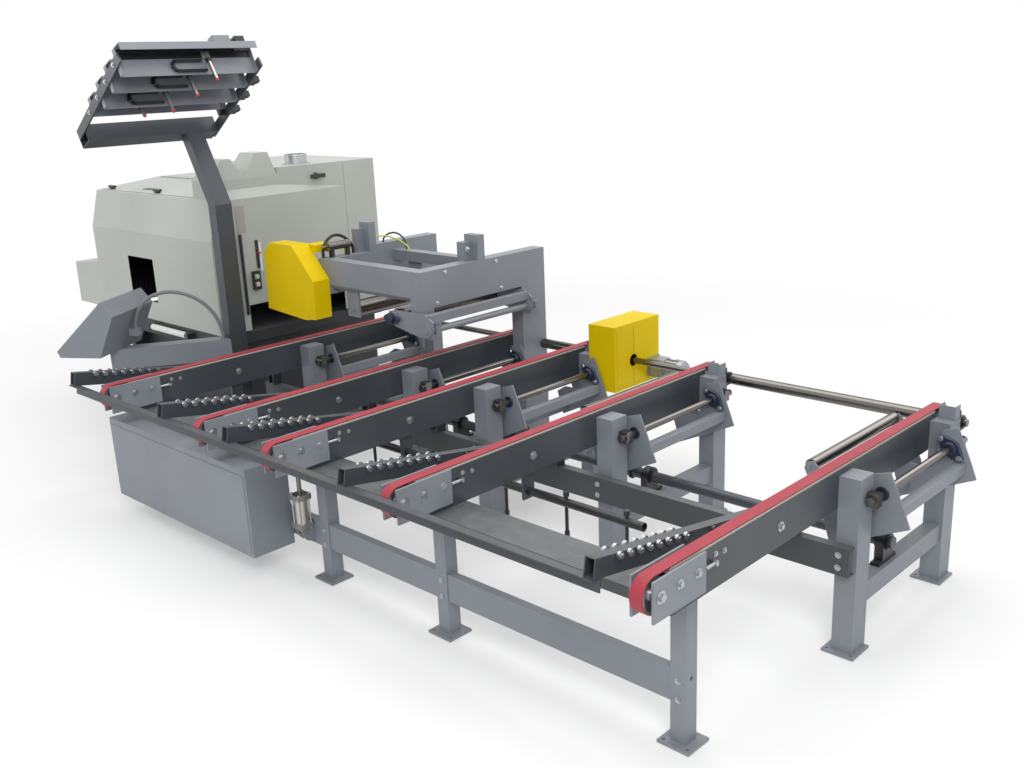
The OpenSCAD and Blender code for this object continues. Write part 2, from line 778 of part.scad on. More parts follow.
// Tall rear part: its right wall runs from the cut eave out to the flush rear
module tall_part(t) {
    translate([0, 0, eave_z]) linear_extrude(cab_top - t - eave_z)
        polygon([[cab_step_x + t, cab_step_y + t], [cab_x1 - eave_in - t, cab_step_y + t],
                 [cab_x1 - t, eave_y], [cab_x1 - t, cab_y1 - t], [cab_step_x + t, cab_y1 - t]]);
}
module saw_cabinet() color(cream) {
    difference() {
        union() {
            hood_body(0);
            tall_part(0);
        }
        hood_body(sheet_t);
        tall_part(sheet_t);
        // Window in the front
        block(-5920, -5530, cab_y - 1, cab_y + sheet_t + 1, 1020, 1355);
        // Board openings in the right and left walls
        block(cab_x1 - sheet_t - 1, cab_x1 + 1, 1420, 2280, cab_z - 1, 1060);
        block(cab_x0 - 1, cab_x0 + sheet_t + 1, 1420, 2280, cab_z - 1, 1060);
        // Opening under the lid
        lid_place() block(lid_x0 + 30, lid_x1 - 30, 60, lid_d - 60, -20, 20);
    }
    // Door panel, latch, switch plate, slot and strut on the right wall
    block(cab_x1, cab_x1 + 3, 2364, 2560, 1250, 1990);
    bar_x(cab_x1 - eave_in, cab_x1 - 4, 2119, 1922, 18);
    block(cab_x1 - 4, cab_x1 + 8, 2070, 2180, 1912, 1932);
    difference() {
        block(cab_x1, cab_x1 + 22, 1465, 1525, 1170, 1300);
        for (z = [button_z0, button_z1])
            bar_x(cab_x1 + 4, cab_x1 + 23, button_y, z, button_r + 0.3);
    }
    block(cab_x1, cab_x1 + 14, 1392, 1408, 1000, 1575);
    block(cab_x1, cab_x1 + 5, 1520, 1540, 1320, 1520);
}
button_y = 1495;
button_z0 = 1206;
button_z1 = 1262;
button_r = 15;

// The sloped top between the front edge and the step
lid_x0 = -6400;
lid_x1 = -5000;
lid_d = 500;
lid_slope = atan((cab_step_z - cab_front_top) / (cab_step_y - cab_y - cab_lean));
module lid_place() {
    translate([0, cab_y + cab_lean, cab_front_top]) rotate([lid_slope, 0, 0])
        translate([0, 25, 0]) children();
}

// Lid on the sloped top, hinged at its rear edge
module top_lid() color(cream) lid_place() {
    difference() {
        block(lid_x0, lid_x1, 0, lid_d, 0.5, 0.5 + sheet_t);
        block(lid_x0 + 500, lid_x0 + 720, 90, 130, 0, 10);
    }
    for (x = [lid_x0 + 120, lid_x1 - 560]) {
        bar_z(0.5 + sheet_t, 16, x, 30, 14);
        block(x - 45, x + 45, 20, 40, 16, 30);
    }
    bar_x(lid_x0 + 60, lid_x1 - 60, lid_d, 8, 7.5);
}

// Dark base under the hood, with its table, feed rolls and the side rod
module cabinet_base() color(black) {
    x0 = cab_x0 + 120;
    x1 = cab_x1 - 60;
    difference() {
        block(x0, x1, 1300, cab_y1 - 60, 0, 780);
        block(x0 + 60, x1 - 60, 1299, 1420, 120, 700);
    }
    block(cab_x0 + 40, cab_x1 - 20, cab_y + sheet_t, cab_y1 - 20, 780, 860);
    for (y = [cab_y + sheet_t, cab_y1 - sheet_t - 16])
        block(cab_x0 + sheet_t, cab_x1 - sheet_t, y, y + 16, 860, cab_z + 30);
    // Posts that carry the arbor
    for (y = [1520, 2240]) difference() {
        union() {
            block(-5560, -5440, y, y + 40, 860, arbor_z);
            bar_y(y, y + 40, -5500, arbor_z, 60);
        }
        bar_y(y - 1, y + 41, -5500, arbor_z, 32 + run_gap);
    }
    for (x = [-5650, -5080]) block(x, x + 20, 1120, 1200, 800, 850);
    bar_x(-5630, -5080, 1150, 825, 22);
}

// Short box on the outfeed side, open where the boards leave
module outfeed_box() color(cream) {
    difference() {
        plate_xz([[outfeed_x, 884], [outfeed_x + 10, 1222], [cab_x0, 1250], [cab_x0, 884]],
                 cab_y, 2360);
        plate_xz([[outfeed_x - 1, 883], [outfeed_x - 1, 1216], [cab_x0 + 1, 1246],
                  [cab_x0 + 1, 883]], cab_y + sheet_t, 2360 - sheet_t);
    }
}

// Tapered dust hoods and the round port on the top
skirt = 70;
module dust_hood(y0, y1, top0, top1, z) {
    low = base_top + skirt;
    right = cab_x1 - eave_in;
    intersection() {
        plate_yz([[y0, base_top], [y1, base_top], [y1, low], [top1, z], [top0, z], [y0, low]],
                 base_x, right);
        plate_xz([[base_x, base_top], [right, base_top], [right, low], [right - 20, z],
                  [base_x + 40, z], [base_x, low]], y0, y1);
    }
}
port_r = 80;
port_x = -4850;
port_y = 2080;
module dust_hoods() color(cream) {
    // Raised base at the right end of the roof, its right side sloped like the eave
    roof_y = cab_y + cab_lean;
    difference() {
        plate_xz([[base_x, cab_front_top], [cab_x1 - 4, cab_front_top],
                  [cab_x1 - eave_in, base_top], [base_x, base_top]], roof_y, cab_step_y);
        plate_yz(hood_outline(0), base_x - 1, cab_x1 + 1);
    }
    dust_hood(roof_y, 1527, 1365, 1437, 2100);
    dust_hood(1527, cab_step_y, 1640, 1750, 2125);
    difference() {
        union() {
            bar_z(cab_top, cab_top + 70, port_x, port_y, port_r);
            bar_z(cab_top, cab_top + 6, port_x, port_y, port_r + 25);
        }
        bar_z(cab_top - 1, cab_top + 71, port_x, port_y, port_r - 3);
    }
}

// Mast with its bend, the crossbar and the two rising side arms
module laser_mast() color(dark_grey) {
    x1 = mast_x + mast_w;
    y1 = mast_y + mast_w;
    tube_z(mast_x + mast_thin, x1, mast_y, y1, foot_t, mast_bend);
    foot(mast_x - 60, x1 + 60, mast_y - 40, y1 + 40);
    // Leaning part, cut square under the crossbar
    half = mast_w * cos(mast_lean) / 2;
    cut_x = crossbar_x + half * sin(mast_lean);
    cut_z = crossbar_z - half * cos(mast_lean);
    left = half - mast_thin * cos(mast_lean);
    plate_xz([[mast_x + mast_thin, mast_bend], [x1, mast_bend],
              [cut_x + half * cos(mast_lean), cut_z + half * sin(mast_lean)],
              [cut_x - left * cos(mast_lean), cut_z - left * sin(mast_lean)]], mast_y, y1);
    translate([crossbar_x, 0, crossbar_z]) rotate([0, -mast_lean, 0])
        tube_y(-half, half, head_y0, head_y1, -half, half);
    for (y = [head_y0 - laser_arm_t, head_y1]) head_frame() {
        rise = y < head_y1 ? near_arm_rise : 0;
        block(-12, laser_arm_l, y, y + laser_arm_t, rise - laser_arm_h / 2,
              rise + laser_arm_h / 2);
    }
}
// Local frame of the side arms: x runs up the arm
module head_frame() {
    translate([head_x + 20, 0, head_z - 5]) rotate([0, -laser_rise, 0]) children();
}

// Four folded troughs between the side arms, each with its end plates, motor and chain
module laser_troughs() color(light_grey) {
    for (i = [0:3]) trough_frame(i) {
        trough_shape(i == 0 ? 50 : 0);
    }
}
module trough_frame(i) {
    translate([head_x + 20, head_y0, head_z - 5]) rotate([0, -laser_rise, 0])
        translate([trough_first + i * trough_step, 0, -26])
            rotate([0, laser_rise - trough_turn, 0]) children();
}
module trough_shape(low) {
    t = trough_sheet;
    rotate([90, 0, 0]) translate([0, 0, -trough_l]) linear_extrude(trough_l) polygon([
        [0, low], [t, low], [t, trough_web - t], [trough_flange - t, trough_web - t],
        [trough_flange - t, trough_web - trough_lip], [trough_flange, trough_web - trough_lip],
        [trough_flange, trough_web], [0, trough_web]]);
    for (y = [0, trough_l - t]) block(t, 34, y, y + t, low + 2, trough_web - t);
}

// Line lasers that slide along the troughs
module laser(i) color(steel) trough_frame(i) {
    y = laser_at[i];
    block(trough_sheet + 0.1, trough_sheet + 26, y - 30, y + 30, trough_web - 70,
          trough_web - 30);
    translate([trough_sheet + 34, y, trough_web - 44]) rotate([0, 172, 0]) {
        cylinder(h = laser_l[i], r = laser_r);
        translate([0, 0, laser_l[i]]) cylinder(h = 12, r = laser_r - 3);
        translate([0, 0, 40]) cylinder(h = 16, r = laser_r + 7);
    }
}

// Console: a sloped desk turned to the operator, on a box arm from the mast
module desk_place() {
    translate([desk_x, desk_y, 0]) rotate([0, 0, desk_turn]) children();
}
module console() color(light_grey) {
    desk_place() difference() {
        plate_xz([[-290, desk_z], [-310, desk_z + 41], [53, desk_z + 370], [129, desk_z + 275],
                  [0, desk_z]], 0, desk_d);
        estop_place() translate([0, 0, -14]) cylinder(h = 20, r = 11);
    }
    // Elbow box of the conduit
    difference() {
        translate([conduit_path[0].x, conduit_path[0].y, 0]) rotate([0, 0, desk_turn])
            translate([-48, -20, 1012]) cube([68, 40, conduit_path[0].z - 1012]);
        desk_place() plate_xz([[-290, desk_z], [-310, desk_z + 41], [53, desk_z + 370],
            [129, desk_z + 275], [0, desk_z]], -5, desk_d + 5);
    }
}
module estop_place() {
    translate([-200, 120, desk_z + 41 + 110 * 329 / 363]) rotate([0, -atan(329 / 363), 0])
        children();
}
module console_arm() color(light_grey) {
    difference() {
        translate([mast_x + 121, mast_y, 0]) rotate([0, 0, -desk_turn])
            tube_y(-110, 0, -790, 150, desk_z - 140, desk_z);
        block(mast_x - 400, mast_x + 400, mast_y, mast_y + 400, 0, 2000);
    }
    end = conduit_path[len(conduit_path) - 1];
    bar_z(desk_z, end.z, end.x, end.y, conduit_d / 2 + 4);
}

// Air cylinder that lifts the load arms by a lug on the third arm
module lift_cylinder() color("#B7B6AE") {
    block(cyl_x - cyl_w / 2, cyl_x + cyl_w / 2, cyl_y - cyl_w / 2, cyl_y + cyl_w / 2,
          cyl_z0, cyl_z0 + 30);
    bar_z(cyl_z0 + 30, cyl_z1 - 30, cyl_x, cyl_y, 38, cyl_rod_r + 12);
    difference() {
        block(cyl_x - cyl_w / 2, cyl_x + cyl_w / 2, cyl_y - cyl_w / 2, cyl_y + cyl_w / 2,
              cyl_z1 - 30, cyl_z1);
        bar_z(cyl_z1 - 31, cyl_z1 + 1, cyl_x, cyl_y, cyl_rod_r + run_gap);
    }
}
// The rod ends in a ball under the lug, clear of it by half a millimetre
rod_ball_r = 14;
lug_under = arm_pivot_z + (arm_pivot_y - cyl_y) * tan(arm_tilt)
             - arm_h / 2 / cos(arm_tilt);
rod_ball_z = lug_under - (rod_ball_r + 0.5) / cos(arm_tilt);
module cylinder_rod() color(steel) {
    bar_z(cyl_z0 + 160, rod_ball_z, cyl_x, cyl_y, cyl_rod_r);
    bar_z(rod_ball_z - 44, rod_ball_z - 26, cyl_x, cyl_y, cyl_rod_r + 4);
    translate([cyl_x, cyl_y, rod_ball_z]) sphere(rod_ball_r);
}

// A smooth tube along a list of points
function unit(v) = v / norm(v);
function along(path, i) = unit(path[min(i + 1, len(path) - 1)] - path[max(i - 1, 0)]);
function ring(path, i, r, sides) =
    let (t = along(path, i), u = unit(cross(t, [0, 0.3, 1])), v = cross(t, u))
    [for (k = [0:sides - 1]) path[i] + r * (cos(360 * k / sides) * u + sin(360 * k / sides) * v)];
module swept_tube(path, r, sides) {
    n = len(path);
    rings = [for (i = [0:n - 1]) for (p = ring(path, i, r, sides)) p];
    walls = [for (i = [0:n - 2]) for (k = [0:sides - 1])
        let (a = i * sides + k, b = i * sides + (k + 1) % sides)
        each [[a, b, b + sides], [a, b + sides, a + sides]]];
    caps = [[for (k = [sides - 1:-1:0]) k], [for (k = [0:sides - 1]) (n - 1) * sides + k]];
    polyhedron(points = rings, faces = concat(walls, caps));
}
module conduit() color("#6E6F73") {
    swept_tube(conduit_path, conduit_d / 2, 10);
}

// Load arms: five tubes with the angle across their front ends
module arm_frame() {
    translate([0, arm_pivot_y, arm_pivot_z]) rotate([-arm_tilt, 0, 0]) children();
}
module load_arms() color(dark_grey) arm_frame() {
    for (i = [0:4]) {
        x1 = lanes[i] + arm_x[i];
        difference() {
            tube_y(x1 - arm_w, x1, -arm_l, arm_tail, -arm_h / 2, arm_h / 2);
            bar_x(x1 - arm_w - 1, x1 + 1, 0, 0, arm_pin_r + 8);
        }
        bar_x(x1 - arm_w, x1, 0, 0, arm_pin_r + 8, arm_pin_r + run_gap);
        bar_x(x1, x1 + 14, -690, arm_h / 2 - 14, 12);
    }
    // Lug over the lift cylinder's rod
    lug_y = (cyl_y - arm_pivot_y) / cos(arm_tilt);
    block(lanes[2] + arm_x[2], lanes[2] + arm_x[2] + cyl_lug_w, lug_y - 40, lug_y + 34,
          -arm_h / 2, -arm_h / 2 + 16);
    // Angle under the front ends, its left end cut at 45 degrees
    top = -arm_h / 2;
    low = top - rail_h;
    front = -rail_front;
    back = front + rail_d;
    difference() {
        plate_yz([[front, top], [back, top], [back, low], [back - rail_t, low],
                  [back - rail_t, top - rail_t], [front, top - rail_t]], rail_x0, rail_x1);
        translate([rail_x0, 0, top - 2]) rotate([0, 135, 0])
            translate([0, front - 1, -200]) cube([200, rail_d + 2, 200]);
    }
}
module arm_wheels() color(steel) arm_frame() {
    for (i = [0:4]) for (side = [0, 1]) {
        x = lanes[i] + arm_x[i] - side * arm_w;
        for (k = [0:wheel_n - 1]) translate([x, wheel_first + k * wheel_pitch,
                                             arm_h / 2 - wheel_sink]) mirror([side, 0, 0]) {
            bar_x(0, 4, 0, 0, 9);
            bar_x(4, 4 + wheel_w, 0, 0, wheel_r);
            translate([4 + wheel_w, 0, 0]) rotate([0, 90, 0]) cylinder(h = 7, r = 10, $fn = 6);
        }
    }
}

// Rocking bar with its upright stop rods
module stop_bar() color(black) {
    difference() {
        bar_x(stop_x0, stop_x1, stop_y, stop_z, stop_r);
        bar_x(stop_x0 - 1, stop_x1 + 1, stop_y, stop_z, stop_r - 4);
        for (x = stop_pins) bar_z(stop_z - 30, stop_z + 30, x, stop_y, 9);
    }
    for (x = stop_pins) {
        bar_z(stop_z - 230, stop_z + 34, x, stop_y, 9);
        bar_z(stop_z + 34, stop_z + 58, x, stop_y, 15);
        bar_z(stop_z - 230, stop_z - 150, x, stop_y, 13);
    }
}

// Lift shaft with a crank and a roller under each lever
module lift_shaft() color(dark_grey) {
    bar_x(lanes[4] + crank_x0 - 30, post_right - 10, lift_y, lift_z, lift_r);
    for (x = lanes) translate([x, lift_y, lift_z]) rotate([crank_rest, 0, 0]) {
        for (s = [crank_x0 - 12, crank_x1]) {
            difference() {
                block(s, s + 12, -10, crank_l, -18, 18);
                bar_x(s - 1, s + 13, 0, 0, lift_r);
            }
            bar_x(s, s + 12, crank_l, 0, 18);
            bar_x(s, s + 12, 0, 0, lift_r + 12, lift_r);
        }
        bar_x(crank_x0, crank_x1, crank_l, 0, crank_roller_r);
    }
}

// Pop-up levers: two plates on navy flange bearings, two tie tubes and the roller arm
function lever_plate() = [[83, pivot_z + 80], [166, pivot_z + 107], [236, 700],
    [lever_tip_x, 616], [-105, 440], [-150, 590], [-250, 790], [-240, 818], [-205, 830],
    [-165, 790], [-85, 630], [20, 630], [70, 715]];
function roller_arm() = [[-60, 462], [-108, 462], [-150, 590], [-250, 790], [-240, 818],
    [-205, 830], [-165, 790], [-70, 600]];
function inner_plate() = [[83, pivot_z + 80], [166, pivot_z + 107], [236, 700],
    [lever_tip_x, 616], [-105, 440], [-150, 590], [-85, 630], [20, 630], [70, 715]];
module flange_bearing(y0, y1, hub_y0, hub_y1) {
    difference() {
        union() {
            translate([pivot_x, y1, pivot_z]) rotate([90, 0, 0]) linear_extrude(y1 - y0)
                rotate(-42) {
                    circle(46);
                    for (s = [-1, 1]) translate([s * 66, 0]) circle(17);
                    polygon([[-72, 16], [-30, 36], [30, 36], [72, 16],
                             [72, -16], [30, -36], [-30, -36], [-72, -16]]);
                }
            bar_y(hub_y0, hub_y1, pivot_x, pivot_z, 33);
        }
        bar_y(min(y0, hub_y0) - 1, max(y1, hub_y1) + 1, pivot_x, pivot_z, pivot_r + run_gap);
    }
}
module lane_lever(i) color(light_grey) translate([lanes[i], 0, 0]) {
    difference() {
        union() {
            plate_xz(lever_plate(), lever_y0, lever_y0 + lever_t);
            plate_xz(inner_plate(), lever_y1, lever_y1 + lever_t);
        }
        bar_y(lever_y0 - 1, lever_y1 + lever_t + 1, pivot_x, pivot_z, 32);
    }
    plate_xz(roller_arm(), lever_y2, lever_y2 + lever_t);
    flange_bearing(lever_y0 + lever_t, lever_y0 + lever_t + 13,
                   lever_y0 - 4, lever_y0 + lever_t + 36);
    flange_bearing(lever_y1 - 13, lever_y1, lever_y1 - 36, lever_y1 + lever_t + 4);
    tube_y(165, 215, lever_y0 + lever_t, lever_y1, 640, 690);
    tube_y(-115, -65, lever_y0 + lever_t, lever_y2, 475, 525);
    bar_y(lever_y0 - 6, lever_y2 + lever_t + 6, -lane_roller_x, roller_z, spindle_r);
}

// Pop-up rollers on their spindles
module lane_roller(i) color(steel) translate([lanes[i], 0, 0])
    difference() {
        union() {
            bar_y(lever_y0 + lever_t + pass_gap + 8, lever_y2 - pass_gap - 8,
                  -lane_roller_x, roller_z, lane_roller_r);
            bar_y(lever_y0 + lever_t + pass_gap, lever_y2 - pass_gap,
                  -lane_roller_x, roller_z, lane_roller_r - 10);
        }
        bar_y(lever_y0, lever_y2 + lever_t, -lane_roller_x, roller_z, spindle_r + run_gap);
    }

// Drive shaft with its thicker torque tubes
module drive_shaft() color(steel) {
    bar_x(lanes[4] - belt_w - 40, lanes[0] + post_right + 20, drive_y, loop_z, drive_r);
    bar_x(lanes[1] + post_right + 22, lanes[0] - belt_w - 20, drive_y, loop_z,
          torque_r, drive_r);
    bar_x(ring_x1 + 12, lanes[2] - belt_w - 20, drive_y, loop_z, torque_r, drive_r);
}
module head_pulleys() color(steel) {
    for (x = lanes) difference() {
        bar_x(x - belt_w, x, drive_y, loop_z, pulley_r - run_gap);
        bar_x(x - belt_w - 1, x - belt_w + 9, drive_y, loop_z, pulley_r - 9, 34);
        bar_x(x - 9, x + 1, drive_y, loop_z, pulley_r - 9, 34);
        bar_x(x - belt_w - 1, x + 1, drive_y, loop_z, drive_r);
    }
}
module nose_pulley(i) color(steel) {
    x = lanes[i];
    difference() {
        bar_x(x - belt_w, x, nose_y, loop_z, pulley_r - run_gap);
        bar_x(x - belt_w - 1, x - belt_w + 9, nose_y, loop_z, pulley_r - 9, 28);
        bar_x(x - 9, x + 1, nose_y, loop_z, pulley_r - 9, 28);
        bar_x(x - belt_w - 1, x + 1, nose_y, loop_z, spindle_r + run_gap);
    }
}

// Press lever: plates, torque tube and bearings on the fixed shaft
module press_lever() color(light_grey) {
    plate = [[press_pivot_x + 38, press_pivot_z - 45], [press_pivot_x + 52, press_pivot_z + 58],
             [press_pivot_x - 20, press_pivot_z + 100], [press_x + 20, press_z + 52],
             [press_x - 42, press_z + 40], [press_x - 42, press_z - 30],
             [press_x + 10, press_z - 52], [press_pivot_x - 60, press_pivot_z - 50]];
    for (y = [press_y0, press_y1 - lever_t]) difference() {
        plate_xz(plate, y, y + lever_t);
        bar_y(y - 1, y + lever_t + 1, press_pivot_x, press_pivot_z, pivot_r + run_gap);
    }
    for (y = [press_y0 - 14, press_y1 - lever_t - 14]) {
        bar_y(y, y + 14, press_pivot_x, press_pivot_z, 40, pivot_r + run_gap);
        bar_y(y, y + 14, press_x, press_z, 38);
    }
    tube_y(press_pivot_x - 34, press_pivot_x + 16, press_y0 + lever_t, press_y1 - lever_t,
           press_pivot_z + 44, press_pivot_z + 94, 4);
    bar_y(press_y0 - 24, press_y1, press_x, press_z, spindle_r);
}
module press_roll() color(steel) {
    y0 = press_y0 + lever_t + 24;
    y1 = press_y1 - lever_t - 14 - pass_gap;
    bar_y(y0, y1, press_x, press_z, press_r, spindle_r + run_gap);
}
module feed_roll() color(steel) {
    bar_y(ring_front + 50 + pass_gap, 2010 - pass_gap, feed_x, feed_z,
          press_r, spindle_r + run_gap);
}

// Saw arbor with its two blades, inside the cabinet
arbor_y = 1850;
arbor_z = 1290;
module saw_arbor() color(steel) {
    bar_y(1480, 2300, -5500, arbor_z, 32);
    for (y = [arbor_y - 120, arbor_y + 120]) {
        bar_y(y - 20, y + 20, -5500, arbor_z, 55);
        bar_y(y - 2, y + 2, -5500, arbor_z, 170);
        for (k = [0:17]) translate([-5500, y, arbor_z]) rotate([0, k * 20, 0])
            plate_xz([[-12, 168], [10, 168], [6, 186], [2, 186]], -2.5, 2.5);
    }
}

// Push-buttons and the emergency stop
module push_button(z, shade) color(shade) {
    bar_x(cab_x1 + 12, cab_x1 + 30, button_y, z, button_r);
}
module green_button() push_button(button_z1, "#2E8B45");
module red_button() push_button(button_z0, "#B3262B");
module emergency_stop() color("#B3262B") desk_place() estop_place() {
    translate([0, 0, -6]) cylinder(h = 18, r = 10.7);
    translate([0, 0, 12]) cylinder(h = 14, r = 22);
}

module place() {
    translate([-x_mid, -y_mid, 0]) children();
}
place() front_frame();
place() rear_posts();
place() cross_channels();
place() conveyor_beams();
place() slider_beds();
place() nose_plates();
place() conveyor_belts();
place() frame_bolts();
place() pivot_shafts();
place() pillow_blocks();
place() drive_cabinet();
place() chain_guard();
place() gear_motor();
place() hold_down_frame();
place() feed_guard();
place() saw_cabinet();
place() cabinet_base();
place() outfeed_box();
place() dust_hoods();
place() laser_mast();
place() laser_troughs();
place() console();
place() console_arm();
place() lift_cylinder();
place() conduit();
place() load_arms();
place() arm_wheels();
place() cylinder_rod();
place() stop_bar();
place() lift_shaft();
place() lane_lever(0);  // lane_lever_1
place() lane_lever(1);  // lane_lever_2
place() lane_lever(2);  // lane_lever_3
place() lane_lever(3);  // lane_lever_4
place() lane_lever(4);  // lane_lever_5
place() lane_roller(0);  // lane_roller_1
place() lane_roller(1);  // lane_roller_2
place() lane_roller(2);  // lane_roller_3
place() lane_roller(3);  // lane_roller_4
place() lane_roller(4);  // lane_roller_5
place() drive_shaft();
place() head_pulleys();
place() nose_pulley(0);  // nose_pulley_1
place() nose_pulley(1);  // nose_pulley_2
place() nose_pulley(2);  // nose_pulley_3
place() nose_pulley(3);  // nose_pulley_4
place() nose_pulley(4);  // nose_pulley_5
place() press_lever();
place() press_roll();
place() feed_roll();
place() laser(3);  // laser_1
place() laser(2);  // laser_2
place() laser(1);  // laser_3
place() laser(0);  // laser_4
place() saw_arbor();
place() top_lid();
place() green_button();
place() red_button();
place() emergency_stop();
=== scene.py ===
# %% [markdown]
# A rip saw line stands on a pale studio floor. Its solids come packed from the part's
# source, each in its right place, and this script gives them their finishes and adds
# the small fittings. Lengths are in metres here; the helper `at` takes the millimetres
# that the part's source counts from the right edge of the first belt.

import json
import math

import bmesh
import bpy
from mathutils import Matrix, Vector


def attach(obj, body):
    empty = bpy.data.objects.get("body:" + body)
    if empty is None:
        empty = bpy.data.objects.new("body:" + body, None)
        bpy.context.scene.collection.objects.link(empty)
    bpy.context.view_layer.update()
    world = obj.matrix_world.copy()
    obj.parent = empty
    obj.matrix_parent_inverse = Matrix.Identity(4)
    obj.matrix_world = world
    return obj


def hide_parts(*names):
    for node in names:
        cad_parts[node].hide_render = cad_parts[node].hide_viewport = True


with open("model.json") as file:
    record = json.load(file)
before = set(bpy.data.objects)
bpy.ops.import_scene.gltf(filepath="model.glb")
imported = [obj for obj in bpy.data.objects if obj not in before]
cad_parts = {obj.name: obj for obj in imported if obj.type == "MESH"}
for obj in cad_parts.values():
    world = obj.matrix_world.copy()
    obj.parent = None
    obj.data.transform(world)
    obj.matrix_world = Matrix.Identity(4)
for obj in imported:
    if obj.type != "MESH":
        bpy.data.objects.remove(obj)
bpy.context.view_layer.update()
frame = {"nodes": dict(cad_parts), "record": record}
MIDDLE = (-3305.5, 1349.16)


def at(x, y, z):
    """A place in the source's millimetres as a point of the frame in metres."""
    return Vector(((x - MIDDLE[0]) / 1000, (y - MIDDLE[1]) / 1000, z / 1000))


# %% [markdown]
# The camera stands off the front right corner of the machine, 2.6 m above the floor, and
# looks down towards the saw. Its three axes and place were fitted to the long edges of
# the machine. Angles would hide that, so the axes are written as they were found.

# %% Camera
camera = bpy.data.objects.new("camera", bpy.data.cameras.new("camera"))
bpy.context.scene.collection.objects.link(camera)
camera.data.sensor_width = 36
camera.data.lens = 37.331
camera.data.shift_x = -0.0098
camera.data.shift_y = 0.0060
camera.data.clip_end = 100
right_axis = (0.727525, 0.684966, -0.039109)
up_axis = (-0.169907, 0.235106, 0.957004)
back_axis = (0.66471, -0.689599, 0.287426)
turn = Matrix((right_axis, up_axis, back_axis)).transposed()
camera.matrix_world = Matrix.Translation(at(2025.1, -2691.8, 2611.4)) @ turn.to_4x4()
bpy.context.scene.camera = camera
bpy.context.scene.view_settings.view_transform = "Standard"

# %% [markdown]
# Finishes are built from nodes. Colours are written as the hex values of a colour
# chart, which are sRGB, and Blender counts light linearly, so one function turns them.
# A second one adds a node with its settings and its links, which keeps each finish
# short enough to read.

# %% Helpers for finishes
def linear(code):
    """An sRGB hex colour as linear red, green, blue and alpha."""
    parts = [int(code[i:i + 2], 16) / 255 for i in (1, 3, 5)]
    bent = [c / 12.92 if c <= 0.04045 else ((c + 0.055) / 1.055) ** 2.4 for c in parts]
    return (*bent, 1)


def add(tree, kind, links=None, values=None, **settings):
    """Adds a node, with values and links for its inputs by name or number."""
    node = tree.nodes.new(kind)
    for key, value in settings.items():
        setattr(node, key, value)
    for key, value in (values or {}).items():
        node.inputs[key].default_value = value
    for key, source in (links or {}).items():
        tree.links.new(source, node.inputs[key])
    return node


def ramp(tree, source, stops):
    """A colour ramp between stops of place and colour."""
    node = add(tree, "ShaderNodeValToRGB", {"Fac": source})
    bar = node.color_ramp
    while len(bar.elements) < len(stops):
        bar.elements.new(0.5)
    for element, (place, colour) in zip(bar.elements, stops):
        element.position = place
        element.color = colour
    return node.outputs["Color"]


def new_finish(name):
    """An empty material with its principled shader and object coordinates."""
    finish = bpy.data.materials.new(name)
    finish.use_nodes = True
    tree = finish.node_tree
    shader = tree.nodes["Principled BSDF"]
    place = add(tree, "ShaderNodeTexCoord").outputs["Object"]
    return finish, tree, shader, place


def shade(code, factor):
    """The linear colour of a hex code, made lighter or darker."""
    r, g, b, a = linear(code)
    return (r * factor, g * factor, b * factor, a)


# %% [markdown]
# Most of the machine is steel with a sprayed, baked coat of powder paint. Close up it
# has a fine orange-peel skin, soft clouds of tone where the coat is thicker, a pale film
# on faces that look up, and a few scuffs at the height of hands and boots. The pale film
# is dust. On the green-grey channel it is made stronger and is also a painted highlight
# on the top faces. The real peel is about 1 mm wide, too fine to show, so it is drawn
# 6 mm wide.

# %% Powder-coated steel
def powder_coat(name, code, rough, clouds=0.10, scuffs=0.10, peel=0.05, dust_and_sheen=0.10):
    """Baked powder paint: tone clouds, dust and painted sheen on top, scuffs and orange peel."""
    finish, tree, shader, place = new_finish(name)
    cloud = add(tree, "ShaderNodeTexNoise", {"Vector": place},
                {"Scale": 1.7, "Detail": 4.0, "Roughness": 0.55})
    tone = ramp(tree, cloud.outputs["Fac"],
                [(0.3, shade(code, 1 - clouds)), (0.7, shade(code, 1 + clouds))])
    normal = add(tree, "ShaderNodeNewGeometry").outputs["Normal"]
    up = add(tree, "ShaderNodeSeparateXYZ", {"Vector": normal}).outputs["Z"]
    speck = add(tree, "ShaderNodeTexNoise", {"Vector": place},
                {"Scale": 14.0, "Detail": 6.0, "Roughness": 0.7})
    lying = add(tree, "ShaderNodeMapRange", {"Value": up},
                {"From Min": 0.5, "From Max": 1.0, "To Max": dust_and_sheen})
    film = add(tree, "ShaderNodeMath", {0: lying.outputs[0], 1: speck.outputs["Fac"]},
               operation="MULTIPLY")
    dust_and_sheen_tone = add(tree, "ShaderNodeMix", {"Factor": film.outputs[0], "A": tone},
                {"B": linear("#C6C6C4")}, data_type="RGBA")
    streak = add(tree, "ShaderNodeMapping", {"Vector": place}, {"Scale": (9, 9, 31)})
    scuff = add(tree, "ShaderNodeTexNoise", {"Vector": streak.outputs[0]},
                {"Scale": 1.0, "Detail": 8.0, "Roughness": 0.75})
    mark = add(tree, "ShaderNodeMapRange", {"Value": scuff.outputs["Fac"]},
               {"From Min": 0.62, "From Max": 0.74, "To Max": scuffs})
    worn = add(tree, "ShaderNodeMix", {"Factor": mark.outputs[0], "A": dust_and_sheen_tone.outputs["Result"]},
               {"B": shade(code, 0.55)}, data_type="RGBA")
    tree.links.new(worn.outputs["Result"], shader.inputs["Base Color"])
    gloss = add(tree, "ShaderNodeMapRange", {"Value": speck.outputs["Fac"]},
                {"To Min": rough - 0.06, "To Max": rough + 0.10})
    tree.links.new(gloss.outputs[0], shader.inputs["Roughness"])
    skin = add(tree, "ShaderNodeTexNoise", {"Vector": place}, {"Scale": 170.0, "Detail": 2.0})
    relief = add(tree, "ShaderNodeBump", {"Height": skin.outputs["Fac"]},
                 {"Strength": peel, "Distance": 0.002})
    tree.links.new(relief.outputs[0], shader.inputs["Normal"])
    shader.inputs["IOR"].default_value = 1.5
    return finish


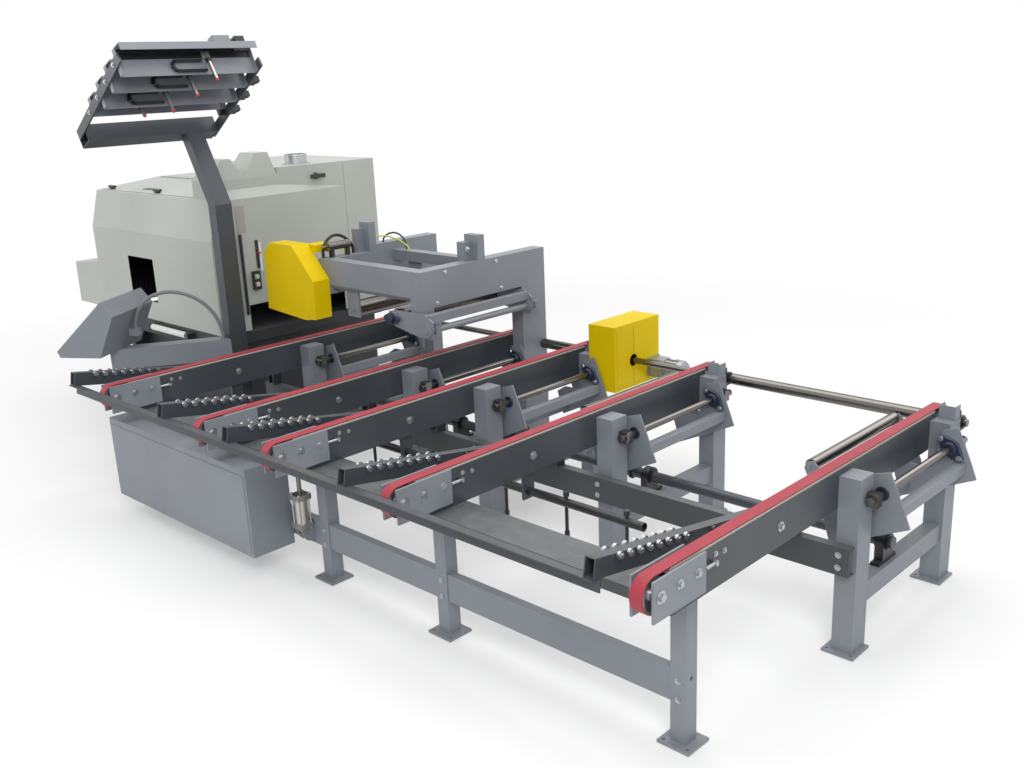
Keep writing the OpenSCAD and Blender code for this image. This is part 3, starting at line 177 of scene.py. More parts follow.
light_grey = powder_coat("light grey powder coat", "#7D828A", 0.42)
trough_grey = powder_coat("trough grey powder coat", "#80848B", 0.38, scuffs=0.04)
# On the channel the pale film on faces that look up is strong: it is dust, and also a painted
# highlight on the top faces.
channel_green = powder_coat("green-grey channel paint", "#3D4344", 0.40, dust_and_sheen=0.25)
dark_grey = powder_coat("dark grey powder coat", "#3B4046", 0.36, dust_and_sheen=0.1)
cream = powder_coat("cream powder coat", "#A8ACA5", 0.45, clouds=0.05, scuffs=0.05, dust_and_sheen=0.3)
strip_grey = powder_coat("warm grey powder coat", "#9C9A92", 0.4, clouds=0.05, dust_and_sheen=0)
guard_yellow = powder_coat("safety yellow powder coat", "#DBBD00", 0.45, clouds=0.04, dust_and_sheen=0.01)
guard_yellow.node_tree.nodes["Principled BSDF"].inputs["Specular IOR Level"].default_value = 0.12
base_black = powder_coat("black base paint", "#232528", 0.5, dust_and_sheen=0.2)
casting_black = powder_coat("black casting enamel", "#1B1C1F", 0.32, peel=0.25)
bearing_navy = powder_coat("navy bearing enamel", "#1F2A40", 0.34, peel=0.1)

# %% [markdown]
# Bare metal comes in three kinds here. Shafts and rollers are ground bright, bolts and
# wheels are zinc plated, and the motor and cylinder are cast or drawn aluminium. Each
# is a metal shader whose roughness wavers, because even new steel is never evenly shiny.

# %% Bare metals
def bare_metal(name, code, rough, waver, grain, stretch=(1, 1, 1), bite=0.08, spread=0.15):
    """Metal with a wavering gloss and a grain that may be stretched along an axis."""
    finish, tree, shader, place = new_finish(name)
    pull = add(tree, "ShaderNodeMapping", {"Vector": place}, {"Scale": stretch})
    lines = add(tree, "ShaderNodeTexNoise", {"Vector": pull.outputs[0]},
                {"Scale": grain, "Detail": 5.0, "Roughness": 0.65})
    tone = ramp(tree, lines.outputs["Fac"],
                [(0.3, shade(code, 1 - spread)), (0.75, shade(code, 1 + spread))])
    tree.links.new(tone, shader.inputs["Base Color"])
    gloss = add(tree, "ShaderNodeMapRange", {"Value": lines.outputs["Fac"]},
                {"To Min": max(rough - waver, 0.05), "To Max": rough + waver})
    tree.links.new(gloss.outputs[0], shader.inputs["Roughness"])
    relief = add(tree, "ShaderNodeBump", {"Height": lines.outputs["Fac"]},
                 {"Strength": bite, "Distance": 0.001})
    tree.links.new(relief.outputs[0], shader.inputs["Normal"])
    shader.inputs["Metallic"].default_value = 1
    return finish


# The ground steel's colour is darker and browner than bare steel: a painted reflection of darker
# surroundings and of the yellow guard.
reflection_tinted_steel = bare_metal("ground steel with painted reflection", "#76726E", 0.22, 0.05, 45, (1, 6, 1), 0.03, 0.08)
zinc = bare_metal("zinc plate", "#B9BBBD", 0.34, 0.12, 90)
cast_aluminium = bare_metal("cast aluminium", "#A9ACB1", 0.5, 0.12, 130, bite=0.2)
drawn_aluminium = bare_metal("drawn aluminium", "#BDBBB3", 0.36, 0.08, 40, (1, 1, 0.08))

# %% [markdown]
# The belts are red polyurethane. The sides of a cut belt are duller than its cover, so
# faces that look along X get a second colour. The cross grain of the real cover is under
# 1 mm, too fine to show, so it is drawn about 3 mm wide. The remaining plastics are
# moulded and need only a soft mottle.

# %% Belts and plastics
def belting(name, red, edge):
    """Belting: a red cover with a cross grain and rubbed spots, and duller cut edges."""
    finish, tree, shader, place = new_finish(name)
    normal = add(tree, "ShaderNodeNewGeometry").outputs["Normal"]
    side = add(tree, "ShaderNodeSeparateXYZ", {"Vector": normal}).outputs["X"]
    across = add(tree, "ShaderNodeMath", {0: side}, operation="ABSOLUTE")
    cut = add(tree, "ShaderNodeMath", {0: across.outputs[0]}, {1: 0.6}, operation="GREATER_THAN")
    rub = add(tree, "ShaderNodeTexNoise", {"Vector": place},
              {"Scale": 6.0, "Detail": 7.0, "Roughness": 0.7})
    cover = ramp(tree, rub.outputs["Fac"],
                 [(0.3, shade(red, 0.86)), (0.72, shade(red, 1.12))])
    both = add(tree, "ShaderNodeMix", {"Factor": cut.outputs[0], "A": cover},
               {"B": linear(edge)}, data_type="RGBA")
    tree.links.new(both.outputs["Result"], shader.inputs["Base Color"])
    weave = add(tree, "ShaderNodeTexWave", {"Vector": place},
                {"Scale": 95.0, "Distortion": 0.4}, bands_direction="Y")
    relief = add(tree, "ShaderNodeBump", {"Height": weave.outputs["Fac"]},
                 {"Strength": 0.12, "Distance": 0.001})
    tree.links.new(relief.outputs[0], shader.inputs["Normal"])
    shader.inputs["Roughness"].default_value = 0.55
    return finish


def moulded(name, code, rough, mottle=0.06, grain=55):
    """Moulded plastic with a soft mottle and a fine spark-eroded grain."""
    finish, tree, shader, place = new_finish(name)
    spots = add(tree, "ShaderNodeTexNoise", {"Vector": place}, {"Scale": grain, "Detail": 4.0})
    tone = ramp(tree, spots.outputs["Fac"],
                [(0.3, shade(code, 1 - mottle)), (0.7, shade(code, 1 + mottle))])
    tree.links.new(tone, shader.inputs["Base Color"])
    relief = add(tree, "ShaderNodeBump", {"Height": spots.outputs["Fac"]},
                 {"Strength": 0.08, "Distance": 0.001})
    tree.links.new(relief.outputs[0], shader.inputs["Normal"])
    shader.inputs["Roughness"].default_value = rough
    return finish


belt_red = belting("red polyurethane belting", "#9E2C3B", "#84363A")
bed_white = moulded("white slide bed", "#B9B6AE", 0.5)
conduit_grey = moulded("grey conduit sheath", "#74757A", 0.5)
chain_black = moulded("black nylon", "#17181A", 0.42)
button_green = moulded("pale green button", "#9DBFA2", 0.3)
button_red = moulded("red button", "#B3262B", 0.3)
button_pale = moulded("pale red button", "#D6B3AC", 0.3)
hose_yellow = moulded("yellow-green hose", "#B9BF3A", 0.4)
plate_black = moulded("black switch plate", "#26272B", 0.4)
plate_white = moulded("white insert", "#D8D8D4", 0.45)
# Black sheets that stand in for the shade inside the cabinet: painted shade. The strip curtain uses
# it too.
shade_black = moulded("black painted shade lining", "#1D1B1A", 0.9, 0.3, 140)
lens_red = moulded("red lens", "#C2303A", 0.15)

FINISHES = {
    "light_grey_paint": light_grey, "light_grey_troughs": trough_grey,
    "channel_paint": channel_green, "dark_grey_paint": dark_grey,
    "bed_plastic": bed_white, "belt_red": belt_red, "zinc_steel": zinc,
    "bright_steel": reflection_tinted_steel, "black_castings": casting_black,
    "guard_yellow": guard_yellow, "motor_silver": cast_aluminium,
    "cream_paint": cream, "base_paint": base_black,
    "cylinder_aluminium": drawn_aluminium, "conduit_sheath": conduit_grey,
    "laser_housing": drawn_aluminium, "button_green": button_green,
    "button_red": button_red,
}
for part in frame["record"]["subparts"]:
    solid = frame["nodes"][part["node"]]
    solid.data.materials.clear()
    solid.data.materials.append(FINISHES[part["material_slot"]])
print("finishes", len(FINISHES), "on", len(frame["nodes"]), "nodes")

# %% [markdown]
# The studio is a wide pale floor under a pale sky. Large soft lamps light the machine:
# a key from the front right, a fill from the left, a top light and one behind. A real
# floor grows dark away from the lamps, so from 4 to 8 metres out it turns into plain
# white for the camera and for reflections, and near the machine it keeps its shadow.

# %% Studio
def looked_at(tree):
    """1 for the camera, in reflections and through glass, else 0."""
    path = add(tree, "ShaderNodeLightPath")
    seen = add(tree, "ShaderNodeMath", {0: path.outputs["Is Camera Ray"],
                                        1: path.outputs["Is Glossy Ray"]}, operation="MAXIMUM")
    through = add(tree, "ShaderNodeMath", {0: seen.outputs[0],
                                           1: path.outputs["Is Transmission Ray"]},
                  operation="MAXIMUM")
    return through.outputs[0]


world = bpy.data.worlds.new("studio sky")
bpy.context.scene.world = world
world.use_nodes = True
sky = world.node_tree
sky.nodes.clear()
soft = add(sky, "ShaderNodeBackground", values={"Color": (1, 1, 1, 1), "Strength": 0.52})
plain = add(sky, "ShaderNodeBackground", values={"Color": (1, 1, 1, 1), "Strength": 1.0})
pick = add(sky, "ShaderNodeMixShader", {0: looked_at(sky), 1: soft.outputs[0],
                                        2: plain.outputs[0]})
add(sky, "ShaderNodeOutputWorld", {"Surface": pick.outputs[0]})

floor_mesh = bpy.data.meshes.new("studio floor")
reach = 60
floor_mesh.from_pydata([(-reach, -reach, -0.002), (reach, -reach, -0.002),
                        (reach, reach, -0.002), (-reach, reach, -0.002)], [], [(0, 1, 2, 3)])
floor = bpy.data.objects.new("studio_floor", floor_mesh)
bpy.context.scene.collection.objects.link(floor)
floor_paint, floor_tree, floor_shader, floor_place = new_finish("pale studio floor")
floor_shader.inputs["Base Color"].default_value = linear("#F2F2F2")
floor_shader.inputs["Roughness"].default_value = 0.9
away = add(floor_tree, "ShaderNodeVectorMath", {0: floor_place}, operation="LENGTH")
fade = add(floor_tree, "ShaderNodeMapRange", {"Value": away.outputs["Value"]},
           {"From Min": 4.0, "From Max": 8.0, "To Min": 0.3, "To Max": 1.0},
           interpolation_type="SMOOTHSTEP")
share = add(floor_tree, "ShaderNodeMath", {0: fade.outputs[0], 1: looked_at(floor_tree)},
            operation="MULTIPLY")
white = add(floor_tree, "ShaderNodeEmission", values={"Color": (1, 1, 1, 1), "Strength": 1.0})
blend = add(floor_tree, "ShaderNodeMixShader", {0: share.outputs[0],
                                                1: floor_shader.outputs[0],
                                                2: white.outputs[0]})
floor_tree.links.new(blend.outputs[0],
                     floor_tree.nodes["Material Output"].inputs["Surface"])
floor.data.materials.append(floor_paint)


def lamp(name, place, aim, size, power):
    """A square soft lamp that looks at a point."""
    light = bpy.data.lights.new(name, "AREA")
    light.size = size
    light.energy = power
    thing = bpy.data.objects.new(name, light)
    thing.location = place
    thing.rotation_mode = "QUATERNION"
    thing.rotation_quaternion = (Vector(aim) - Vector(place)).to_track_quat("-Z", "Y")
    bpy.context.scene.collection.objects.link(thing)


lamp("key", (7, -5, 6.5), (0, 0, 0.8), 4, 420)
lamp("fill", (-7, -6, 5), (0, 0, 0.8), 5, 210)
lamp("top", (0, 1, 8), (0, 0, 0), 7, 330)
lamp("rear", (3, 8, 6), (0, 0, 0.8), 5, 160)

# %% [markdown]
# Fittings are small solids built face by face. One helper keeps a growing mesh, and
# its boxes and turned shapes get a bevel, because no folded sheet or cast part has a
# truly sharp edge. Each finished piece rides on the body that carries it.

# %% Helpers for fittings
def set_down(name, data, material, body, bevel=0):
    """Puts a finished mesh into the scene as a piece that rides on a body."""
    piece = bpy.data.objects.new(name, data)
    bpy.context.scene.collection.objects.link(piece)
    data.materials.clear()
    data.materials.append(material)
    if bevel:
        round_off = piece.modifiers.new("rounded edges", "BEVEL")
        round_off.width = bevel
        round_off.segments = 2
        round_off.limit_method = "ANGLE"
    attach(piece, body)
    print(name, len(data.polygons), "faces on", body)
    return piece


def skin(rings, count):
    """The side faces between rings of points, each ring after the one before."""
    return [(i * count + k, i * count + (k + 1) % count,
             (i + 1) * count + (k + 1) % count, (i + 1) * count + k)
            for i in range(rings - 1) for k in range(count)]


class Fitting:
    """A mesh that grows by boxes and turned profiles, in source millimetres."""

    def __init__(self, name):
        self.name = name
        self.mesh = bmesh.new()

    def keep(self, points, faces):
        """Adds points and the faces between them."""
        verts = [self.mesh.verts.new(at(*p)) for p in points]
        for face in faces:
            self.mesh.faces.new([verts[i] for i in face])

    def box(self, x0, x1, y0, y1, z0, z1, place=None):
        """A block, placed by an optional function of its corner points."""
        corners = [Vector((x, y, z)) for x in (x0, x1) for y in (y0, y1) for z in (z0, z1)]
        if place:
            corners = [place(c) for c in corners]
        self.keep(corners, [(0, 1, 3, 2), (4, 6, 7, 5), (0, 4, 5, 1),
                            (2, 3, 7, 6), (0, 2, 6, 4), (1, 5, 7, 3)])

    def turned(self, centre, axis, profile, sides=24):
        """A solid turned round an axis from a list of distance along it and radius."""
        axis = Vector(axis).normalized()
        side = axis.orthogonal().normalized()
        other = axis.cross(side)
        centre = Vector(centre)
        rings = []
        for along, radius in profile:
            rings.append([centre + axis * along + radius * (
                side * math.cos(2 * math.pi * k / sides) + other * math.sin(2 * math.pi * k / sides))
                for k in range(sides)])
        points = [p for ring in rings for p in ring]
        faces = skin(len(rings), sides)
        faces.append(tuple(range(sides - 1, -1, -1)))
        last = (len(rings) - 1) * sides
        faces.append(tuple(last + k for k in range(sides)))
        self.keep(points, faces)

    def finish(self, material, body, slot, bevel=0.0015):
        """Closes the mesh, bevels its edges and sets the piece on its body."""
        bmesh.ops.recalc_face_normals(self.mesh, faces=self.mesh.faces)
        data = bpy.data.meshes.new(self.name)
        self.mesh.to_mesh(data)
        self.mesh.free()
        set_down(self.name, data, material, body, bevel)


# %% [markdown]
# Bolts repeat along rails and plates, so Geometry Nodes make them: a line of points,
# a hexagon head on a round washer at each, then one real mesh. The rows below are the
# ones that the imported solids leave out.

# %% Rows of bolts
WASHER_T = 0.0025


def bolt_tree():
    """A node group with inputs for the row's start, step, count, size and turn."""
    tree = bpy.data.node_groups.new("bolt row", "GeometryNodeTree")
    face = tree.interface
    face.new_socket("Geometry", in_out="OUTPUT", socket_type="NodeSocketGeometry")
    for name, kind in (("Start", "Vector"), ("Step", "Vector"), ("Count", "Int"),
                       ("Radius", "Float"), ("Turn", "Vector"), ("Metal", "Material")):
        face.new_socket(name, in_out="INPUT", socket_type="NodeSocket" + kind)
    given = add(tree, "NodeGroupInput").outputs
    line = add(tree, "GeometryNodeMeshLine", {"Count": given["Count"],
                                              "Start Location": given["Start"],
                                              "Offset": given["Step"]})
    high = add(tree, "ShaderNodeMath", {0: given["Radius"]}, {1: 0.75}, operation="MULTIPLY")
    lift = add(tree, "ShaderNodeMath", {0: high.outputs[0]}, {1: 0.5}, operation="MULTIPLY")
    wide = add(tree, "ShaderNodeMath", {0: given["Radius"]}, {1: 1.55}, operation="MULTIPLY")
    head = add(tree, "GeometryNodeMeshCylinder", {"Radius": given["Radius"],
                                                  "Depth": high.outputs[0]}, {"Vertices": 6})
    rise = add(tree, "ShaderNodeMath", {0: lift.outputs[0]}, {1: WASHER_T}, operation="ADD")
    up = add(tree, "ShaderNodeCombineXYZ", {"Z": rise.outputs[0]})
    raised = add(tree, "GeometryNodeTransform", {"Geometry": head.outputs["Mesh"],
                                                 "Translation": up.outputs[0]})
    washer = add(tree, "GeometryNodeMeshCylinder", {"Radius": wide.outputs[0]},
                 {"Vertices": 20, "Depth": WASHER_T})
    seat = add(tree, "GeometryNodeTransform", {"Geometry": washer.outputs["Mesh"]},
               {"Translation": (0, 0, WASHER_T / 2)})
    both = add(tree, "GeometryNodeJoinGeometry")
    tree.links.new(raised.outputs[0], both.inputs[0])
    tree.links.new(seat.outputs[0], both.inputs[0])
    turn_to = add(tree, "FunctionNodeEulerToRotation", {0: given["Turn"]})
    spread = add(tree, "GeometryNodeInstanceOnPoints", {"Points": line.outputs["Mesh"],
                                                       "Instance": both.outputs[0],
                                                       "Rotation": turn_to.outputs[0]})
    real = add(tree, "GeometryNodeRealizeInstances", {"Geometry": spread.outputs[0]})
    metal = add(tree, "GeometryNodeSetMaterial", {"Geometry": real.outputs[0],
                                                  "Material": given["Metal"]})
    add(tree, "NodeGroupOutput", {"Geometry": metal.outputs[0]})
    return tree


BOLT_ROW = bolt_tree()


def made_by(tree, values, path=None):
    """Runs a node group with its inputs by name and returns a plain mesh of its result."""
    carrier = bpy.data.objects.new("carrier", path or bpy.data.meshes.new("carrier"))
    bpy.context.scene.collection.objects.link(carrier)
    growth = carrier.modifiers.new("growth", "NODES")
    growth.node_group = tree
    for item in tree.interface.items_tree:
        if item.in_out == "INPUT" and item.name in values:
            growth[item.identifier] = values[item.name]
    graph = bpy.context.evaluated_depsgraph_get()
    data = bpy.data.meshes.new_from_object(carrier.evaluated_get(graph))
    bpy.data.objects.remove(carrier)
    return data


def bolt_rows(name, rows, body):
    """Rows of bolts as one piece: each is start, step, count, radius and direction."""
    joined = bmesh.new()
    for start, step, count, radius, facing in rows:
        turn_to = Vector(facing).to_track_quat("Z", "Y").to_euler()
        origin = at(*start)
        data = made_by(BOLT_ROW, {"Start": tuple(origin), "Count": count,
                                  "Step": tuple(Vector(step) / 1000),
                                  "Radius": radius / 1000, "Turn": tuple(turn_to),
                                  "Metal": zinc})
        joined.from_mesh(data)
    data = bpy.data.meshes.new(name)
    joined.to_mesh(data)
    joined.free()
    set_down(name, data, zinc, body)


# %% [markdown]
# The conduit carries the console's wires in an arch to its arm. It is a flexible sheathed
# tube of 26 mm, held in a socket at each end, and its own stiffness makes the arch. It
# follows the same points as the solid that it replaces. The air hoses further down are
# laid by the same function, with no ribs.

# %% Conduit
CONDUIT = [(-4679, 553, 1060), (-4679, 553, 1092), (-4662, 562, 1152), (-4649, 585, 1202),
           (-4637, 623, 1242), (-4619, 678, 1269), (-4590, 748, 1281), (-4544, 818, 1271),
           (-4499, 887, 1237), (-4457, 949, 1181), (-4424, 995, 1108), (-4404, 1020, 1028),
           (-4396, 1030, 965), (-4396, 1030, 937)]


def ribbed_tube(name, points, radius, depth, sides=16, steps=14):
    """A corrugated tube: rings of two radii along a smooth path."""
    fine = []
    for i in range(len(points) - 1):
        p0, p1 = points[max(i - 1, 0)], points[i]
        p2, p3 = points[i + 1], points[min(i + 2, len(points) - 1)]
        for k in range(steps):
            t = k / steps
            fine.append(0.5 * ((2 * p1) + (p2 - p0) * t + (2 * p0 - 5 * p1 + 4 * p2 - p3) * t * t
                               + (3 * p1 - p0 - 3 * p2 + p3) * t ** 3))
    fine.append(points[-1])
    mesh = bmesh.new()
    side = None
    rings = []
    for i, point in enumerate(fine):
        ahead = (fine[min(i + 1, len(fine) - 1)] - fine[max(i - 1, 0)]).normalized()
        side = (side - ahead * side.dot(ahead)).normalized() if side else (
            ahead.orthogonal().normalized())
        other = ahead.cross(side)
        r = radius if i % 2 else radius - depth
        rings.append([mesh.verts.new(point + r * (side * math.cos(2 * math.pi * k / sides)
                                                  + other * math.sin(2 * math.pi * k / sides)))
                      for k in range(sides)])
    for low, high in zip(rings, rings[1:]):
        for k in range(sides):
            mesh.faces.new((low[k], low[(k + 1) % sides], high[(k + 1) % sides], high[k]))
    mesh.faces.new(rings[0][::-1])
    mesh.faces.new(rings[-1])
    bmesh.ops.recalc_face_normals(mesh, faces=mesh.faces)
    for face in mesh.faces:
        face.smooth = True
    data = bpy.data.meshes.new(name)
    mesh.to_mesh(data)
    mesh.free()
    length = sum((b - a).length for a, b in zip(fine, fine[1:]))
    return data, fine, length


def lay_tube(name, points, radius, depth, material, stands_for=None):
    """A tube between two sockets, whose own length is printed."""
    data, line, length = ribbed_tube(name, [at(*p) for p in points], radius, depth)
    piece = set_down(name, data, material, "frame")
    if stands_for:
        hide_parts(stands_for)
    print(name, round(length, 3), "m")


lay_tube("conduit_sheath", CONDUIT, 0.013, 0.0009, conduit_grey, "conduit")

# %% [markdown]
# The levers and the press roll turn in bought flange bearings: a dark blue cast body
# with two ears, a turned hub and a bright inner ring with its set screws. Its outline is
# the shape that a string makes round a large circle and two small ones.

# %% Flange bearings
def string_round(points):
    """The convex outline of points in a plane, anticlockwise."""
    points = sorted(set(points))

    def half(row):
        out = []
        for p in row:
            while len(out) > 1 and ((out[-1][0] - out[-2][0]) * (p[1] - out[-2][1])
                                    - (out[-1][1] - out[-2][1]) * (p[0] - out[-2][0])) <= 0:
                out.pop()
            out.append(p)
        return out[:-1]
    return half(points) + half(points[::-1])


def ear_outline(lean, body=47, ear=18, reach=66):
    """Outline of a two-eared flange whose ears lie along an angle in degrees."""
    points = []
    for centre, radius in ((0, body), (reach, ear), (-reach, ear)):
        for k in range(24):
            a = 2 * math.pi * k / 24
            points.append((round(centre + radius * math.cos(a), 4), round(radius * math.sin(a), 4)))
    c, s = math.cos(math.radians(lean)), math.sin(math.radians(lean))
    return [(x * c - y * s, x * s + y * c) for x, y in string_round(points)]


def flange(fitting, x, y, z, side, lean=-42, size=1.0):
    """A flange bearing in the XZ plane: its back at y, its hub towards side."""
    ring = [(px * size, pz * size) for px, pz in ear_outline(lean)]
    count = len(ring)
    steps = ((0, 1.0), (side * 11.5 * size, 1.0), (side * 15.5 * size, 0.93))
    points = [(x + px * k, y + dy, z + pz * k) for dy, k in steps for px, pz in ring]
    faces = skin(len(steps), count)
    faces.append(tuple(range(count)))
    last = (len(steps) - 1) * count
    faces.append(tuple(last + k for k in range(count)))
    fitting.keep(points, faces)
    fitting.turned((x, y + side * 13 * size, z), (0, side, 0),
                   [(0, 36 * size), (22 * size, 34.5 * size), (25.5 * size, 32 * size)], 28)


# The right edges of the belts, and a lever's pivot from there and over the floor
LANES = (0, -1375, -2303, -2943, -4019)
PIVOT = (135, 755)
# The two bearing faces of a lever, and the side towards which each hub looks
LEVER_FACES = ((1552, 1), (2291, -1))
RIM = [(0, 32), (2, 34), (5, 34)]
for number, lane in enumerate(LANES, 1):
    body = f"lane_lever_{number}"
    x, z = lane + PIVOT[0], PIVOT[1]
    bearing = Fitting(f"lever_bearings_{number}")
    for face, side in LEVER_FACES:
        flange(bearing, x, face, z, side)
    for face, side in LEVER_FACES:
        bearing.turned((x, face - 14 * side, z), (0, side, 0), RIM, 28)
    bearing.finish(bearing_navy, body, "black_castings", 0)
    ears = [((x + end * 49, face + 15.5 * side, z - end * 44), (0, 0, 0), 1, 10, (0, side, 0))
            for face, side in LEVER_FACES for end in (-1, 1)]
    bolt_rows(f"lever_bearing_bolts_{number}", ears, body)
press_bearing = Fitting("press_roll_bearings")
flange(press_bearing, -3000, 1391, 1180, -1, 0, 0.85)
press_bearing.finish(bearing_navy, "press_lever", "black_castings", 0)

# %% [markdown]
# On the cabinet's right wall are a gas strut, a strip over a seam, and a slot whose red
# pointer runs beside a white scale. They stand a millimetre or so proud of the sheet,
# because a face that lies in another's plane renders black.

# %% Right wall of the cabinet
# The outer faces of the right and rear walls
CAB = -4650
REAR = 2660

strut = Fitting("cabinet_strut")
strut.turned((CAB + 8, 1400, 995), (0, 0, 1),
             [(0, 5), (4, 9.5), (380, 9.5), (384, 6), (568, 6), (572, 9), (584, 9)], 14)
strut.box(CAB, CAB + 15, 1390.5, 1409.5, 999, 1576)
strut.finish(plate_black, "frame", "black_castings")
cover = Fitting("cabinet_cover_strip")
cover.box(CAB, CAB + 2.5, 1385, 1460, 1586, 1778)
cover.finish(strip_grey, "frame", "cream_paint", 0.0008)
# The slot is drawn as black blocks on the wall: their black is painted shade inside the open slot.
slot = Fitting("cabinet_slot")
slot.box(CAB, CAB + 6, 1518, 1542, 1318, 1522)
slot.box(CAB, CAB + 4, 1546, 1560, 1300, 1420)
slot.finish(plate_black, "frame", "black_castings")
pointer = Fitting("cabinet_slot_pointer")
pointer.box(CAB + 5, CAB + 22, 1522, 1548, 1424, 1436)
pointer.finish(button_red, "frame", "button_red")
scale = Fitting("cabinet_slot_scale")
scale.box(CAB, CAB + 5, 1546, 1564, 1290, 1500)
scale.finish(plate_white, "frame", "bed_plastic")

# %% [markdown]
# A switch plate is a black rim round two push-buttons. The rim is made of bars, so that
# the buttons' solids show between them. Each button gets a pale glossy cap that rides on
# it and goes in with it.

# %% Switch plate
plate = Fitting("switch_plate_rim")
plate.box(CAB, CAB + 23, 1463, 1478, 1168, 1302)
plate.box(CAB, CAB + 23, 1512, 1527, 1168, 1302)
for low, high in ((1168, 1189), (1223, 1245), (1279, 1302)):
    plate.box(CAB, CAB + 22.6, 1470, 1520, low, high)
plate.finish(plate_black, "frame", "black_castings", 0.002)
for name, z, finish_of, slot_of in (("green_cap", 1262, button_green, "button_green"),
                                    ("red_cap", 1206, button_pale, "button_red")):
    cap = Fitting(name)
    cap.turned((CAB + 27, 1495, z), (1, 0, 0), [(0, 15.4), (4, 15.4), (5.5, 13.5)], 28)
    cap.finish(finish_of, name.split("_")[0] + "_button", slot_of, 0)

# %% [markdown]
# Latches and the grip are black mouldings on the doors and the lid. The lid slopes, so
# its fittings are given along and square to it and are turned by one function. They ride
# on the lid and swing with it.

# %% Latches and the lid's grip
door = Fitting("side_door_latch")
door.turned((CAB - 24, 2119, 1922), (1, 0, 0), [(0, 26), (8, 26), (12, 20), (22, 20)], 24)
door.box(CAB - 5, CAB + 10, 2060, 2190, 1908, 1936)
door.finish(plate_black, "frame", "black_castings", 0.004)

# The front and back edges of the lid, as places along Y and Z
LID_FRONT = (1250, 1830)
LID_BACK = (1800, 1885)
LID_SLOPE = math.atan((LID_BACK[1] - LID_FRONT[1]) / (LID_BACK[0] - LID_FRONT[0]))


def on_lid(p):
    """A place on the lid: along X, up the slope and square off it."""
    c, s = math.cos(LID_SLOPE), math.sin(LID_SLOPE)
    y, z = p[1] + 25, p[2]
    return Vector((p[0], LID_FRONT[0] + y * c - z * s, LID_FRONT[1] + y * s + z * c))


latch = Fitting("lid_latches")
for x in (-6280, -5560):
    latch.box(x - 48, x + 48, 17, 43, 15, 32, on_lid)
    latch.box(x - 18, x + 18, 12, 48, 4.5, 18, on_lid)
latch.finish(plate_black, "top_lid", "black_castings", 0.004)
handle = Fitting("lid_grip")
handle.box(-5902, -5678, 84, 136, 4.2, 6.5, on_lid)
handle.finish(base_black, "top_lid", "black_castings", 0)
print("lid slope", round(math.degrees(LID_SLOPE), 2), "degrees")

# %% [markdown]
# Strips hang in the outfeed opening and keep chips in, and black sheets just inside the
# walls stand in for the shade inside the cabinet: painted shade. Both make the window
# dark, as it is on the real one. The sheets are thin boxes, and the lid's own sheet
# swings with it.

# %% Painted shade lining and strip curtain
# Black sheets just inside the walls and under the lid: painted shade inside the cabinet.
shade_lining = Fitting("cabinet_painted_shade")
shade_lining.box(-6446, -6438, 1182, REAR - 20, 1064, 1540)
shade_lining.box(-6446, -6438, 1262, REAR - 20, 1540, 1800)
shade_lining.box(CAB - 12, CAB - 4, 1262, 2350, 1064, 1800)
shade_lining.box(-6440, CAB - 10, REAR - 12, REAR - 4, 1000, 1820)
shade_lining.finish(shade_black, "frame", "black_castings", 0)
lid_shade_lining = Fitting("lid_painted_shade")
lid_shade_lining.box(-6360, -5040, 68, 424, -12, 0.8, on_lid)
lid_shade_lining.finish(shade_black, "top_lid", "black_castings", 0)
STRIPS, STRIP_STEP, STRIP_WIDTH = 20, 43, 41
curtain = Fitting("outfeed_curtain")
for k in range(STRIPS):
    y = 1421 + STRIP_STEP * k
    curtain.box(-6446, -6442, y, y + STRIP_WIDTH, 882, 1075)
curtain.finish(shade_black, "frame", "black_castings", 0)

# %% [markdown]
# A white roller lies under the front wall with a black cap at its end, and the dust
# port has a zinc plated collar. Both are round, so each is turned from a profile.

# %% Front roller and dust port collar
roller = Fitting("cabinet_front_roller")
roller.turned((-5628, 1150, 825), (1, 0, 0), [(0, 20), (1, 23.5), (505, 23.5), (506, 22.5)], 28)
roller.finish(plate_white, "frame", "bed_plastic", 0)
cap = Fitting("cabinet_roller_caps")
cap.turned((-5122, 1150, 825), (1, 0, 0), [(0, 24), (38, 24), (41, 22)], 28)
cap.finish(plate_black, "frame", "black_castings", 0)
collar = Fitting("dust_port_collar")
collar.turned((-4850, 2080, 2012), (0, 0, 1),
              [(4.6, 80.4), (4.6, 81.6), (58, 81.6), (60, 84.5), (64, 84.5), (66, 82),
               (69.4, 82), (69.4, 76.4), (10, 76.4)], 48)
collar.finish(zinc, "frame", "zinc_steel", 0)

# %% [markdown]
# Plates close the front ends of the hold-down beams, and the chain guard is two
# pressings that meet in a thin dark seam. Both are boxes: the plates lie in the mouths
# of the tubes and the seam stands just proud of the yellow sheet.

# %% End caps and guard seam
ends = Fitting("hold_down_end_caps")
for x in (-3770, -2860):
    ends.box(x + 5.2, x + 94.8, 1430.6, 1434.6, 1255.2, 1474.8)
ends.finish(light_grey, "frame", "light_grey_paint", 0)
seam = Fitting("chain_guard_seam")
for low, high in ((676, 783), (867, 1044)):
    seam.box(-1982.2, -1981.6, 2499, 2501.4, low, high)
seam.finish(plate_black, "frame", "black_castings", 0)

# %% [markdown]
# The rear isn't seen from the infeed side. It gets what such a cabinet has there, which
# is a lift-off panel with screws and two latches, and louvres that let the motor's warm
# air out of the base. A louvre is a wedge, open side down in the real sheet.

